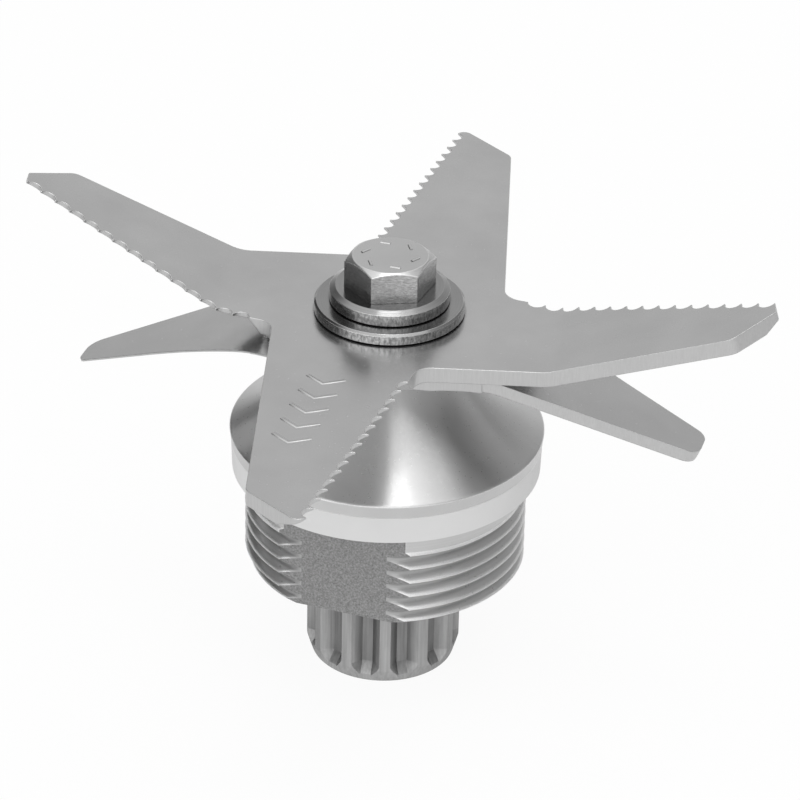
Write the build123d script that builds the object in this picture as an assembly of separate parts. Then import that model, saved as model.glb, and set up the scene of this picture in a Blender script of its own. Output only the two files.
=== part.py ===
"""Blade assembly of a countertop blender, in millimetres.

A cast and turned housing screws into the jar's foot and carries a shaft in two
ball bearings behind a lip seal. The shaft ends in a twelve-tooth drive gear
below, and above it clamps two crossed blades under two washers and a hex bolt.
The origin is the centre of the drive gear's bottom face, +Z points up along
the shaft, and the housing's two flats face -Y and +Y.
"""

import os
from math import ceil, cos, degrees, pi, radians, sin, tan

from build123d import *

# Clearances
BEARING_FIT = 0.01      # radial, rings on the shaft and in the bore
BALL_PLAY = 0.015       # radial, between a ball and each race
LIP_PLAY = 0.03         # radial, between the seal's lip and the shaft
CAGE_PLAY = 0.12        # between a ball and its pocket
SHIELD_PLAY = 0.25      # radial, between a shield and the inner ring
THREAD_PLAY = 0.02      # radial, screws in their tapped holes
DRIVE_PLAY = 0.05       # all round, blades and gear on the shaft's flats
BOLT_PLAY = 0.2         # radial, washers on their screws
GASKET_PLAY = 0.02      # radial, gasket on the neck
COLLAR_GAP = 0.4        # between the housing's top and the turning collar
GEAR_GAP = 0.4          # between the gear's teeth and the neck
CLAMP_GAP = 0.3         # shaft ends stop this short of the washers they hold
CIRCLIP_PLAY = 0.1      # the retaining ring in its groove's height
CIRCLIP_FIT = 0.05      # radial, the retaining ring in its groove

# Housing
THREAD_MAJOR = 36.0
THREAD_PITCH = 2.0
THREAD_LENGTH = 10.7     # from the neck's bottom
THREAD_TURNS = 5.5
THREAD_END_ANGLE = 90.0  # the groove ends in the middle of the rear flat
NECK_LEAD_RADIAL = 1.0   # bevel round the neck's foot
NECK_LEAD_HEIGHT = 0.75
BORE_CHAMFER = 0.5
RELIEF_DEPTH = 0.28      # the plain band above the thread is this much smaller
RELIEF_HEIGHT = 2.75
FLATS_ACROSS = 31.6
RIM_OVERHANG = 1.95
RIM_HEIGHT = 1.9
RIM_DRAFT = 0.2
RIM_EDGE = 0.15
CONE_RIM_SLOPE = 29.0    # degrees, the cone starts this flat and steepens upward
CONE_TOP_WIDTH = 16.4
CONE_ROOF = 3.4          # metal above the seal
ROOF_BORE_PLAY = 0.25    # radial, round the shaft

# Gasket under the rim
GASKET_HEIGHT = 3.6
GASKET_DRAFT = 0.1
GASKET_ROUND = 0.15

# Ball bearings
BEARING_BORE = 10.0
BEARING_OUTER = 26.0
BEARING_WIDTH = 8.0
BALL_SIZE = 4.76
BALL_COUNT = 7
RACE_CONFORMITY = 1.04   # groove radius over ball radius
RING_SHOULDER = 1.65     # ball centre circle to each ring's shoulder
CAGE_WIDTH = 1.8
CAGE_BRIDGE = 0.6
SHIELD_THICKNESS = 0.45
SHIELD_INSET = 0.1
SHIELD_SEAT = 0.55       # radial depth of the shield's step in the outer ring
BEARING_SPACING = 1.5    # between the two bearings
SPACER_WALL = 1.8

# Retaining ring in the bore
CIRCLIP_THICKNESS = 1.2
CIRCLIP_RISE = 2.05      # neck's bottom to the ring's bottom
CIRCLIP_WALL = 2.3
CIRCLIP_GROOVE = 0.6
CIRCLIP_DIRECTION = 90.0 # of the opening, from the X axis
CIRCLIP_OPENING = 34.0   # degrees
CIRCLIP_LUG_TURN = 6.0   # degrees, from the opening to a lug's centre
CIRCLIP_LUG = 2.0
CIRCLIP_EYE = 1.4

# Lip seal
SEAL_OUTER = 19.0
SEAL_HEIGHT = 5.0
SEAL_REST = 0.5          # bearing's top to the seal's bottom
SEAL_CASE_WALL = 0.5
SEAL_FLANGE = 1.7
SPRING_WIRE = 0.9        # across the coiled spring
SPRING_REACH = 1.95      # lip's edge to the spring's circle
SPRING_DROP = 1.15       # seal's top to the spring's circle
LIP_TAPER = 0.5          # radial, behind the lip's edge on both sides
LIP_TOP_DROP = 0.5       # seal's top to the rubber's top
LIP_EDGE_DROP = 1.4      # seal's top to the lip's edge
LIP_BACK_DROP = 2.6      # seal's top to where the taper ends
LIP_BAND_DROP = 1.8      # seal's top to the foot of the spring's seat
LIP_WAIST = 0.35         # the neck of the rubber is this much thinner
LIP_WAIST_LENGTH = 0.3
LIP_FOOT_SHARE = 0.6     # of the case's flange that the rubber covers

# Shaft
SEAL_JOURNAL = 12.0
COLLAR_WIDTH = 15.0
COLLAR_HEIGHT = 1.7
TANG_WIDTH = 9.0
TANG_FLATS = 7.4
GEAR_SEAT_WIDTH = 8.0
GEAR_SEAT_FLATS = 6.6
BOLT_HOLE_DEPTH = 14.0
SCREW_HOLE_DEPTH = 13.0

# Drive gear
GEAR_WIDTH = 19.86
GEAR_REACH = 14.25       # gear's bottom to the neck's bottom
GEAR_TEETH = 12
GEAR_TOOTH_ANGLE = -69.5 # direction of one tooth's centre
GEAR_GROOVE_DEPTH = 1.45
GEAR_RUNOUT_DEPTH = 0.5  # what is left of the grooves at the gear's foot
GEAR_TIP_HALF = 4.0      # degrees, half a tooth's width at its tip
GEAR_ROOT_HALF = 10.5    # degrees, half a tooth's width at its root
GEAR_RUNOUT_LOW = 0.9
GEAR_RUNOUT_HIGH = 2.4
GEAR_LEAD_RADIAL = 0.6   # taper round the gear's foot
GEAR_LEAD_HEIGHT = 1.8
GEAR_BOSS_WIDTH = 13.6
GEAR_RECESS_WIDTH = 13.0
GEAR_RECESS_DEPTH = 7.0

# Screw and washer under the gear
SCREW_SIZE = 5.0
SCREW_LENGTH = 12.0
SCREW_HEAD_WIDTH = 8.5
SCREW_HEAD_HEIGHT = 5.0
SCREW_HEAD_EDGE = 0.3
SCREW_SOCKET = 4.0
SCREW_SOCKET_DEPTH = 2.5
GEAR_WASHER_WIDTH = 12.0
GEAR_WASHER_THICKNESS = 1.5

# Bolt and washers above the blades
BOLT_SIZE = 6.0
BOLT_LENGTH = 16.0
BOLT_FLATS = 9.9
BOLT_HEAD = 4.1
BOLT_TURN = 25.3         # degrees, direction of one corner of the head
BOLT_CROWN = 0.95        # crown circle over the distance across the flats
LOWER_WASHER_WIDTH = 18.8
LOWER_WASHER_THICKNESS = 1.6
LOWER_WASHER_EDGE = 0.25
UPPER_WASHER_WIDTH = 15.0
UPPER_WASHER_THICKNESS = 2.0
UPPER_WASHER_BEVEL = 0.75
UPPER_WASHER_RISE = 0.4

# Blades
BLADE_THICKNESS = 2.0
BEND_RADIUS = 6.0        # on the inner side of each bend
EDGE_THICKNESS = 0.22
EDGE_BEVEL = 4.0         # width of the ground bevel under a cutting edge
EDGE_RUNOUT = 1.5        # the bevel starts on a slope this long
EDGE_OVERRUN = 3.0       # the bevel goes on this far past the last tooth
EDGE_STEP = 1.5          # between the bevel's sections
FOLD_LAP = 1.2           # the arms' outlines overlap the hub's at the folds
TOOTH_LAND = 0.14
GULLET_DEPTH = 0.95

# Upper blade, on its flat blank: the arms that rise, towards +X and -X
RISE_ANGLE = 20.0
RISE_AZIMUTH = 11.65     # direction of the slope
RISE_FOLD = 20.8         # fold line from the axis
RISE_PITCH = 2.33
RISE_TEETH = 15
RISE_ROOT_X = 15.5
RISE_ROOT_Y = 8.1
RISE_LEAD_ARC = 45.0     # the cutting edge starts on this radius
RISE_LEAD_SWEEP = 12.0   # and goes on straight at this angle
RISE_TIP_STEP = 2.3      # last tooth to the arm's point
RISE_NOSE_ANGLE = -72.0  # degrees, that step's direction
RISE_NOSE_ROUND = 0.4
RISE_HUB_SWEEP = 16.0    # degrees, the back edge on the hub
RISE_TAIL_HALF = 12.65   # back edge from the fold's centre, along the fold
RISE_TAIL_SWEEP = 5.4
RISE_END_SLANT = 51.3    # degrees, the slanted end against the X axis
RISE_CORNER = 1.8

# Upper blade: the arms that lie flat, towards +Y and -Y
FLAT_PITCH = 2.237
FLAT_TEETH = 15
FLAT_ROOT_X = -7.92
FLAT_ROOT_Y = 16.1
FLAT_TIP_STEP = 1.45     # last tooth to the arm's point, before it is rounded
FLAT_LEAD_SWEEP = 1.1    # degrees, the cutting edge against the Y axis
FLAT_TAIL_X = 11.75
FLAT_TAIL_Y = 10.6
FLAT_TAIL_SWEEP = 16.2
FLAT_END_SLANT = 30.0
FLAT_LIFT = 2.0          # degrees, these arms lean up a little past a faint fold
FLAT_LIFT_AZIMUTH = 154.0
FLAT_LIFT_FOLD = 16.05
FLAT_LIFT_START = 15.0   # the faint fold lies beyond this Y
FLAT_POINT_ROUND = 1.1
FLAT_CORNER = 1.6
HUB_FILLET = 2.6
TAIL_FILLET = 2.2

# Lower blade: its two arms drop, towards +X and -X
DROP_THICKNESS = 1.6
DROP_BEND_RADIUS = 22.0
DROP_ANGLE = 21.3
DROP_AZIMUTH = 2.5
DROP_FOLD = 13.05
DROP_REACH = 42.4
DROP_LEAD_HALF = 11.66   # cutting edge at the fold, from the fold's centre
DROP_LEAD_SWEEP = 22.7
DROP_POINT_HALF = 3.53   # cutting edge at the tip
DROP_POINT_SWEEP = 10.8
DROP_LEAD_ROUND = 70.0   # eases the cutting edge from one sweep to the other
DROP_TAIL_HALF = 9.75    # back edge at the fold, from the fold's centre
DROP_TAIL_SWEEP = 14.65
DROP_ROOT_SWEEP = 25.5   # the back edge flares out like this at the root
DROP_ROOT_LENGTH = 3.65  # the flare starts this far past the fold
DROP_ROOT_ROUND = 12.0
DROP_TAIL_INSET = 4.65   # and goes on this far into the hub
DROP_HUB_SWEEP = 10.7    # degrees, the hub's own edges against the X axis
DROP_POINT_ROUND = 1.6
DROP_TAIL_ROUND = 2.3
DROP_HUB_ROUND = 3.0
DROP_LAP = 1.6           # the arms' outlines start this far past the fold
DROP_EDGE_START = 3.0    # the bevel starts this far from the hub's corner

# Heights worked out from the gear's bottom up
neck_bottom = GEAR_REACH
circlip_bottom = neck_bottom + CIRCLIP_RISE
lower_bearing_bottom = circlip_bottom + CIRCLIP_THICKNESS
spacer_bottom = lower_bearing_bottom + BEARING_WIDTH
upper_bearing_bottom = spacer_bottom + BEARING_SPACING
bearing_shoulder = upper_bearing_bottom + BEARING_WIDTH
seal_bottom = bearing_shoulder + SEAL_REST
seal_top = seal_bottom + SEAL_HEIGHT
cone_top = seal_top + CONE_ROOF
thread_top = neck_bottom + THREAD_LENGTH
gasket_bottom = thread_top + RELIEF_HEIGHT
rim_bottom = gasket_bottom + GASKET_HEIGHT
rim_top = rim_bottom + RIM_HEIGHT
collar_bottom = cone_top + COLLAR_GAP
blade_seat = collar_bottom + COLLAR_HEIGHT
lower_blade_top = blade_seat + DROP_THICKNESS
upper_blade_top = lower_blade_top + BLADE_THICKNESS
upper_washer_bottom = upper_blade_top + LOWER_WASHER_THICKNESS
head_bottom = upper_washer_bottom + UPPER_WASHER_THICKNESS
tang_top = upper_blade_top - CLAMP_GAP
gear_washer_top = GEAR_RECESS_DEPTH
gear_washer_bottom = gear_washer_top - GEAR_WASHER_THICKNESS
shaft_bottom = gear_washer_top + CLAMP_GAP

# Radii worked out
neck_r = THREAD_MAJOR / 2
thread_depth = 0.613 * THREAD_PITCH
relief_r = neck_r - RELIEF_DEPTH
rim_r = neck_r + RIM_OVERHANG
rim_low_r = rim_r - RIM_DRAFT
bore_r = BEARING_OUTER / 2
journal_r = BEARING_BORE / 2
ball_circle_r = (journal_r + bore_r) / 2
ball_r = BALL_SIZE / 2
seal_journal_r = SEAL_JOURNAL / 2
seal_r = SEAL_OUTER / 2
spring_circle_r = seal_journal_r + LIP_PLAY + SPRING_REACH


def turned(*section):
    """Turn a closed section of (radius, height) points about the shaft's axis."""
    return revolve(Plane.XZ * make_face(Polyline(*section, close=True)), Axis.Z, 360)


def ring(inner_r, outer_r, low, high):
    """A plain ring between two heights."""
    return Pos(0, 0, (low + high) / 2) * (
        Cylinder(outer_r, high - low) - Cylinder(inner_r, high - low)
    )


def rod(radius, low, high):
    """A plain round bar between two heights."""
    return Pos(0, 0, (low + high) / 2) * Cylinder(radius, high - low)


def flatted_bar(width, flats, low, high):
    """A round bar with two flats, between two heights."""
    return rod(width / 2, low, high) & Pos(0, 0, (low + high) / 2) * Box(
        width, flats, high - low
    )


def spun(shape, count):
    """Copies of a shape at equal steps round the shaft's axis."""
    return [Rot(0, 0, 360 * turn / count) * shape for turn in range(count)]


def rounded_face(*corners):
    """A face from (x, y, corner radius) points in order round its outline."""
    edges = []
    starts, ends = [], []
    for index, (x, y, radius) in enumerate(corners):
        before = Vector(*corners[index - 1][:2]) - Vector(x, y)
        after = Vector(*corners[(index + 1) % len(corners)][:2]) - Vector(x, y)
        if not radius:
            starts.append(Vector(x, y))
            ends.append(Vector(x, y))
            continue
        before, after = before.normalized(), after.normalized()
        half = radians(before.get_angle(after)) / 2
        reach = radius / tan(half)
        middle = Vector(x, y) + (before + after).normalized() * (
            radius / sin(half) - radius
        )
        starts.append(Vector(x, y) + before * reach)
        ends.append(Vector(x, y) + after * reach)
        edges.append(ThreePointArc(starts[-1], middle, ends[-1]))
    for index, start in enumerate(starts):
        edges.append(Line(ends[index - 1], start))
    return Face(Wire(edges))


def forward(point, angle, distance):
    """The point a distance away from another in a direction in degrees."""
    x, y = point
    return x + distance * cos(radians(angle)), y + distance * sin(radians(angle))


def distance(point, other):
    """How far apart two points are."""
    return (Vector(*point[:2]) - Vector(*other[:2])).length


def crossing(point, angle, other, other_angle):
    """Where two lines meet, each given by a point and a direction in degrees."""
    ux, uy = cos(radians(angle)), sin(radians(angle))
    vx, vy = cos(radians(other_angle)), sin(radians(other_angle))
    wx, wy = other[0] - point[0], other[1] - point[1]
    distance = (wx * vy - wy * vx) / (ux * vy - uy * vx)
    return forward(point, angle, distance)


class FoldedSheet:
    """A blade's sheet, folded alike on both sides of the axis."""

    def __init__(self, top, thickness, bend, azimuth, fold, tilt):
        self.top, self.thickness = top, thickness
        self.azimuth, self.fold, self.tilt = azimuth, fold, tilt
        # The bend's inner side is on top where the arm rises
        self.top_r = bend if tilt > 0 else bend + thickness
        self.low_r = bend + thickness if tilt > 0 else bend
        self.reach = self.top_r * tan(radians(abs(tilt)) / 2)

    def solid(self, length, width):
        """The folded sheet, wide and long enough for the whole blade."""
        tilt, t = radians(self.tilt), self.thickness
        fold, low = self.fold, self.fold + t * tan(tilt / 2)
        end = (fold + length * cos(tilt), length * sin(tilt))
        end_low = (end[0] + t * sin(tilt), end[1] - t * cos(tilt))
        side = rounded_face(
            (-end[0], end[1], 0),
            (-fold, 0, self.top_r),
            (fold, 0, self.top_r),
            (*end, 0),
            (*end_low, 0),
            (low, -t, self.low_r),
            (-low, -t, self.low_r),
            (-end_low[0], end_low[1], 0),
        )
        along = Vector(cos(radians(self.azimuth)), sin(radians(self.azimuth)), 0)
        across = along.cross(Vector(0, 0, 1))
        plane = Plane(origin=(0, 0, self.top), x_dir=along, z_dir=across)
        return extrude(plane * side, width / 2, both=True)

    def seat(self, x, y):
        """The plane on the sheet's top at a point of the flat blank."""
        turn = Rot(0, 0, self.azimuth)
        a = radians(self.azimuth)
        u, v = x * cos(a) + y * sin(a), y * cos(a) - x * sin(a)
        sign = 1 if self.tilt > 0 else -1
        if u <= self.fold - self.reach:
            place = (u, v, 0, 0)
        elif u >= self.fold + self.reach:
            t = radians(self.tilt)
            place = (self.fold + (u - self.fold) * cos(t), v, (u - self.fold) * sin(t), self.tilt)
        else:
            angle = abs(self.tilt) * (u - self.fold + self.reach) / (2 * self.reach)
            bent = radians(angle)
            run = self.fold - self.reach + self.top_r * sin(bent)
            place = (run, v, sign * self.top_r * (1 - cos(bent)), sign * angle)
        return Pos(0, 0, self.top) * turn * Pos(*place[:3]) * Rot(0, -place[3], 0) * Rot(
            0, 0, -self.azimuth
        )

    def slope(self):
        """The place of the flat blank on the risen or dropped arm's plane."""
        return (
            Pos(0, 0, self.top)
            * Rot(0, 0, self.azimuth)
            * Pos(self.fold, 0, 0)
            * Rot(0, -self.tilt, 0)
            * Pos(-self.fold, 0, 0)
            * Rot(0, 0, -self.azimuth)
        )

    def fold_point(self, ahead, along):
        """A point of the blank from distances ahead of the fold line and along it."""
        a = radians(self.azimuth)
        u = self.fold + ahead
        return u * cos(a) - along * sin(a), u * sin(a) + along * cos(a)

    def bevel(self, marks):
        """The wedge under a cutting edge, through (x, y, direction) marks on the blank.

        The blade lies to the right of the direction. The wedge starts at the
        sheet's lower face and reaches its full depth after the run-out.
        """
        depth = self.thickness - EDGE_THICKNESS
        slope = depth / EDGE_BEVEL
        out = EDGE_BEVEL / 2
        floor = -self.thickness - slope * out
        section = make_face(
            Polyline(
                (out, slope * out - EDGE_THICKNESS),
                (-EDGE_BEVEL - out, floor),
                (out, floor),
                close=True,
            )
        )
        upright = Plane(origin=(0, 0, 0), x_dir=(0, 1, 0), z_dir=(1, 0, 0)) * section
        x, y, angle = marks[0]
        full = (*forward((x, y), angle, EDGE_RUNOUT), angle)
        sections = [self.seat(x, y) * Rot(0, 0, angle) * Pos(0, 0, -depth) * upright]
        for x, y, angle in (full, *marks[1:]):
            sections.append(self.seat(x, y) * Rot(0, 0, angle) * upright)
        return loft(sections, ruled=True)


def straight_marks(point, angle, length):
    """Marks at even steps along a straight edge, its end included."""
    count = ceil(length / EDGE_STEP)
    return [
        (*forward(point, angle, length * step / count), angle) for step in range(1, count + 1)
    ]


def eased_marks(knee, before, after, radius):
    """Marks along the round that eases an edge from one direction to another."""
    side = 90 if after > before else -90
    reach = radius * tan(radians(abs(after - before)) / 2)
    centre = forward(forward(knee, before, -reach), before + side, radius)
    count = ceil(2 * reach / EDGE_STEP)
    angles = [before + (after - before) * step / count for step in range(count + 1)]
    return [(*forward(centre, angle - side, radius), angle) for angle in angles]


def deep(face):
    """A cutting prism through a face drawn on the blade's top surface."""
    return extrude(face, 3 * BLADE_THICKNESS, both=True)


def gullet(pitch):
    """The round cutter between two teeth, its chord on the line of the tips."""
    chord = pitch - TOOTH_LAND
    radius = (chord * chord / 4 + GULLET_DEPTH**2) / (2 * GULLET_DEPTH)
    return radius, radius - GULLET_DEPTH


def rise_edge(distance):
    """A point of the rising arm's cutting edge, and its direction in degrees."""
    arc = radians(RISE_LEAD_SWEEP) * RISE_LEAD_ARC
    turned_by = radians(RISE_LEAD_SWEEP) * min(distance, arc) / arc
    x = RISE_ROOT_X + RISE_LEAD_ARC * sin(turned_by)
    y = RISE_ROOT_Y - RISE_LEAD_ARC * (1 - cos(turned_by))
    straight = max(0.0, distance - arc)
    angle = -degrees(turned_by)
    return *forward((x, y), angle, straight), angle


def tang_hole(width, flats, top):
    """The hole that fits over the shaft's flats."""
    return flatted_bar(
        width + 2 * DRIVE_PLAY,
        flats + 2 * DRIVE_PLAY,
        top - 2 * BLADE_THICKNESS,
        top + BLADE_THICKNESS,
    )


def upper_blade():
    """The serrated blade with two flat and two risen arms, one folded sheet."""
    top = upper_blade_top
    sheet = FoldedSheet(
        top, BLADE_THICKNESS, BEND_RADIUS, RISE_AZIMUTH, RISE_FOLD, RISE_ANGLE
    )
    lifted = FoldedSheet(
        top, BLADE_THICKNESS, BEND_RADIUS, FLAT_LIFT_AZIMUTH, FLAT_LIFT_FOLD, FLAT_LIFT
    )

    # Flat arm towards +Y, from its root at the hub round to the next arm
    lead_angle = 90 - FLAT_LEAD_SWEEP
    root = (FLAT_ROOT_X, FLAT_ROOT_Y)
    teeth_length = FLAT_PITCH * FLAT_TEETH
    point = forward(root, lead_angle, teeth_length + FLAT_TIP_STEP)
    tail = (FLAT_TAIL_X, FLAT_TAIL_Y)
    corner = crossing(point, -FLAT_END_SLANT, tail, 90 + FLAT_TAIL_SWEEP)
    hub = crossing(tail, 90 + FLAT_TAIL_SWEEP, (RISE_ROOT_X, RISE_ROOT_Y), 0)

    # Root of the risen arm's back edge, square to the fold where it crosses it
    back_start = sheet.fold_point(-FOLD_LAP, -RISE_TAIL_HALF)
    back_end = sheet.fold_point(FOLD_LAP, -RISE_TAIL_HALF)
    pocket = crossing((-root[0], -root[1]), lead_angle, back_start, RISE_HUB_SWEEP)
    front = rise_point_at(sheet.fold_point(FOLD_LAP, 0)[0])

    half_hub = [
        (*back_end, 0),
        (*front, 0),
        *[(*rise_edge(s)[:2], 0) for s in rise_marks()],
        (*hub, HUB_FILLET),
        (*corner, FLAT_CORNER),
        (*point, FLAT_POINT_ROUND),
        (-pocket[0], -pocket[1], TAIL_FILLET),
        (-back_start[0], -back_start[1], 0),
    ]
    plan = rounded_face(*half_hub, *[(-x, -y, r) for x, y, r in half_hub])
    flat_part = Pos(0, 0, top) * deep(plan)

    # Risen arm beyond the fold, on its own plane
    tip = rise_edge(RISE_PITCH * RISE_TEETH)
    nose = forward(tip[:2], RISE_NOSE_ANGLE, RISE_TIP_STEP)
    heel = crossing(nose, RISE_END_SLANT - 180, back_end, RISE_TAIL_SWEEP)
    arm_back = sheet.fold_point(-FOLD_LAP / 2, -RISE_TAIL_HALF)
    arm_front = rise_point_at(sheet.fold_point(-FOLD_LAP / 2, RISE_ROOT_Y / 2)[0])
    arm = rounded_face(
        (*arm_back, 0),
        (*back_end, 0),
        (*heel, RISE_CORNER),
        (*nose, RISE_NOSE_ROUND),
        (*tip[:2], 0),
        (*front, 0),
        (*arm_front, 0),
    )
    arm_part = sheet.slope() * deep(arm)

    # The long arms keep the main folds, and the short ones the faint fold
    span = RISE_PITCH * RISE_TEETH + RISE_ROOT_X
    middle = Pos(0, 0, top) * Box(6 * span, 2 * FLAT_LIFT_START, 6 * span)
    folded = sheet.solid(span, 6 * span) & middle
    folded += lifted.solid(span, 6 * span) - middle
    body = folded & (flat_part + arm_part + Rot(0, 0, 180) * arm_part)

    cutters = []
    tall = 3 * BLADE_THICKNESS
    radius, offset = gullet(FLAT_PITCH)
    for tooth in range(FLAT_TEETH):
        x, y = forward(root, lead_angle, FLAT_PITCH * (tooth + 0.5))
        x, y = forward((x, y), lead_angle + 90, offset)
        cutters.append(Pos(x, y, top) * Cylinder(radius, tall))
    radius, offset = gullet(RISE_PITCH)
    for tooth in range(RISE_TEETH):
        x, y, angle = rise_edge(RISE_PITCH * (tooth + 0.5))
        x, y = forward((x, y), angle + 90, offset)
        cutters.append(sheet.seat(x, y) * Cylinder(radius, tall))

    # Ground bevels under the cutting edges
    start = (*forward(root, lead_angle, -EDGE_RUNOUT), lead_angle)
    cutters.append(
        lifted.bevel([start, *straight_marks(root, lead_angle, teeth_length + EDGE_OVERRUN)])
    )
    arc = radians(RISE_LEAD_SWEEP) * RISE_LEAD_ARC
    count = ceil(arc / EDGE_STEP)
    start = (RISE_ROOT_X - EDGE_RUNOUT, RISE_ROOT_Y, 0)
    curved = [rise_edge(arc * step / count) for step in range(1, count + 1)]
    end = (*forward(tip[:2], tip[2], EDGE_OVERRUN), tip[2])
    cutters.append(sheet.bevel([start, *curved, end]))

    hole = tang_hole(TANG_WIDTH, TANG_FLATS, top)
    return body - cutters - [Rot(0, 0, 180) * cutter for cutter in cutters] - hole


def rise_marks():
    """Distances along the cutting edge, from the fold back to the root."""
    steps = 3
    return [RISE_PITCH * 2 * (steps - step - 1) / (steps - 1) for step in range(steps)]


def rise_point_at(x):
    """The point of the rising arm's cutting edge at a given x."""
    distance = x - RISE_ROOT_X
    for _ in range(20):
        distance += x - rise_edge(distance)[0]
    return rise_edge(distance)[:2]


def lower_blade():
    """The plain blade with two dropped arms, one gently folded sheet."""
    sheet = FoldedSheet(
        lower_blade_top,
        DROP_THICKNESS,
        DROP_BEND_RADIUS,
        DROP_AZIMUTH,
        DROP_FOLD,
        -DROP_ANGLE,
    )
    lead_angle = DROP_AZIMUTH - DROP_LEAD_SWEEP
    tail_angle = DROP_AZIMUTH + DROP_TAIL_SWEEP
    root_angle = DROP_AZIMUTH + DROP_ROOT_SWEEP
    fold_lead = sheet.fold_point(0, DROP_LEAD_HALF)
    fold_tail = sheet.fold_point(0, -DROP_TAIL_HALF)
    lead = forward(fold_lead, lead_angle, DROP_LAP)
    tail = forward(fold_tail, root_angle, DROP_LAP)
    flare = forward(fold_tail, root_angle, DROP_ROOT_LENGTH)
    far_tail = forward((-fold_tail[0], -fold_tail[1]), root_angle, DROP_TAIL_INSET)
    hub_corner = crossing(fold_lead, lead_angle, far_tail, DROP_HUB_SWEEP)

    half_hub = [
        (*tail, 0),
        (*lead, 0),
        (*hub_corner, DROP_HUB_ROUND),
        (*far_tail, DROP_TAIL_ROUND),
    ]
    plan = rounded_face(*half_hub, *[(-x, -y, r) for x, y, r in half_hub])
    flat_part = Pos(0, 0, lower_blade_top) * deep(plan)

    point = sheet.fold_point(DROP_REACH - DROP_FOLD, DROP_POINT_HALF)
    point_angle = DROP_AZIMUTH - DROP_POINT_SWEEP
    knee = crossing(lead, lead_angle, point, point_angle)
    heel = crossing(flare, tail_angle, point, DROP_AZIMUTH + 90)
    arm = rounded_face(
        (*forward(tail, root_angle, -DROP_LAP / 2), 0),
        (*flare, DROP_ROOT_ROUND),
        (*heel, DROP_TAIL_ROUND),
        (*point, DROP_POINT_ROUND),
        (*knee, DROP_LEAD_ROUND),
        (*forward(lead, lead_angle, -DROP_LAP / 2), 0),
    )
    arm_part = sheet.slope() * deep(arm)
    body = sheet.solid(DROP_REACH, 3 * DROP_REACH) & (
        flat_part + arm_part + Rot(0, 0, 180) * arm_part
    )

    # Ground bevel under the cutting edge, from near the hub's corner
    eased = eased_marks(knee, lead_angle, point_angle, DROP_LEAD_ROUND)
    start = forward(hub_corner, lead_angle, DROP_EDGE_START)
    run = forward(start, lead_angle, EDGE_RUNOUT)
    straight = straight_marks(run, lead_angle, distance(run, eased[0]))
    end = (*forward(point, point_angle, EDGE_OVERRUN), point_angle)
    edge = sheet.bevel([(*start, lead_angle), *straight, *eased[1:], end])
    hole = tang_hole(TANG_WIDTH, TANG_FLATS, lower_blade_top)
    return body - edge - Rot(0, 0, 180) * edge - hole


def housing():
    """The screwed-in body: threaded neck with two flats, rim and cone, bored out."""
    roof_r = seal_journal_r + ROOF_BORE_PLAY
    top_r = CONE_TOP_WIDTH / 2
    outline = Polyline(
        (bore_r, neck_bottom + BORE_CHAMFER),
        (bore_r + BORE_CHAMFER, neck_bottom),
        (neck_r - NECK_LEAD_RADIAL, neck_bottom),
        (neck_r, neck_bottom + NECK_LEAD_HEIGHT),
        (neck_r, thread_top - RELIEF_DEPTH),
        (relief_r, thread_top),
        (relief_r, rim_bottom),
        (rim_low_r, rim_bottom),
        (rim_r, rim_top - RIM_EDGE),
        (rim_r - RIM_EDGE, rim_top),
    )
    cone = TangentArc(
        (rim_r - RIM_EDGE, rim_top),
        (top_r, cone_top),
        tangent=(-cos(radians(CONE_RIM_SLOPE)), sin(radians(CONE_RIM_SLOPE))),
    )
    inside = Polyline(
        (top_r, cone_top),
        (roof_r, cone_top),
        (roof_r, seal_top),
        (seal_r, seal_top),
        (seal_r, bearing_shoulder),
        (bore_r, bearing_shoulder),
        (bore_r, neck_bottom + BORE_CHAMFER),
    )
    body = revolve(Plane.XZ * make_face(outline + cone + inside), Axis.Z, 360)

    groove_r = bore_r + CIRCLIP_GROOVE
    groove_low = circlip_bottom - CIRCLIP_PLAY
    body -= ring(journal_r, groove_r, groove_low, lower_bearing_bottom)
    body -= thread_groove()

    flat_depth = neck_r - FLATS_ACROSS / 2
    flat_height = gasket_bottom - neck_bottom
    for side in (-1, 1):
        body -= Pos(
            0, side * (FLATS_ACROSS / 2 + flat_depth), neck_bottom + flat_height / 2
        ) * Box(2 * THREAD_MAJOR, 2 * flat_depth, flat_height)
    return body


def thread_groove():
    """The helical V groove that leaves the neck's outer thread."""
    over = 0.1
    root_half = THREAD_PITCH / 8
    flank = tan(radians(30))
    root_r = neck_r - thread_depth
    outer_half = root_half + flank * (thread_depth + over)
    section = make_face(
        Polyline(
            (root_r, -root_half),
            (neck_r + over, -outer_half),
            (neck_r + over, outer_half),
            (root_r, root_half),
            close=True,
        )
    )
    height = THREAD_TURNS * THREAD_PITCH
    path = Helix(pitch=THREAD_PITCH, height=height, radius=root_r)
    groove = sweep(Plane.XZ * section, path, is_frenet=True)
    end = thread_top - THREAD_PITCH / 4
    start_angle = THREAD_END_ANGLE - 360 * THREAD_TURNS
    return Pos(0, 0, end - height) * Rot(0, 0, start_angle) * groove


def flange_gasket():
    """The soft ring between the rim and the jar."""
    inner = relief_r + GASKET_PLAY
    return turned(
        (inner, gasket_bottom),
        (rim_low_r - GASKET_DRAFT - GASKET_ROUND, gasket_bottom),
        (rim_low_r - GASKET_DRAFT, gasket_bottom + GASKET_ROUND / 2),
        (rim_low_r, rim_bottom),
        (inner, rim_bottom),
    )


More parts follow.
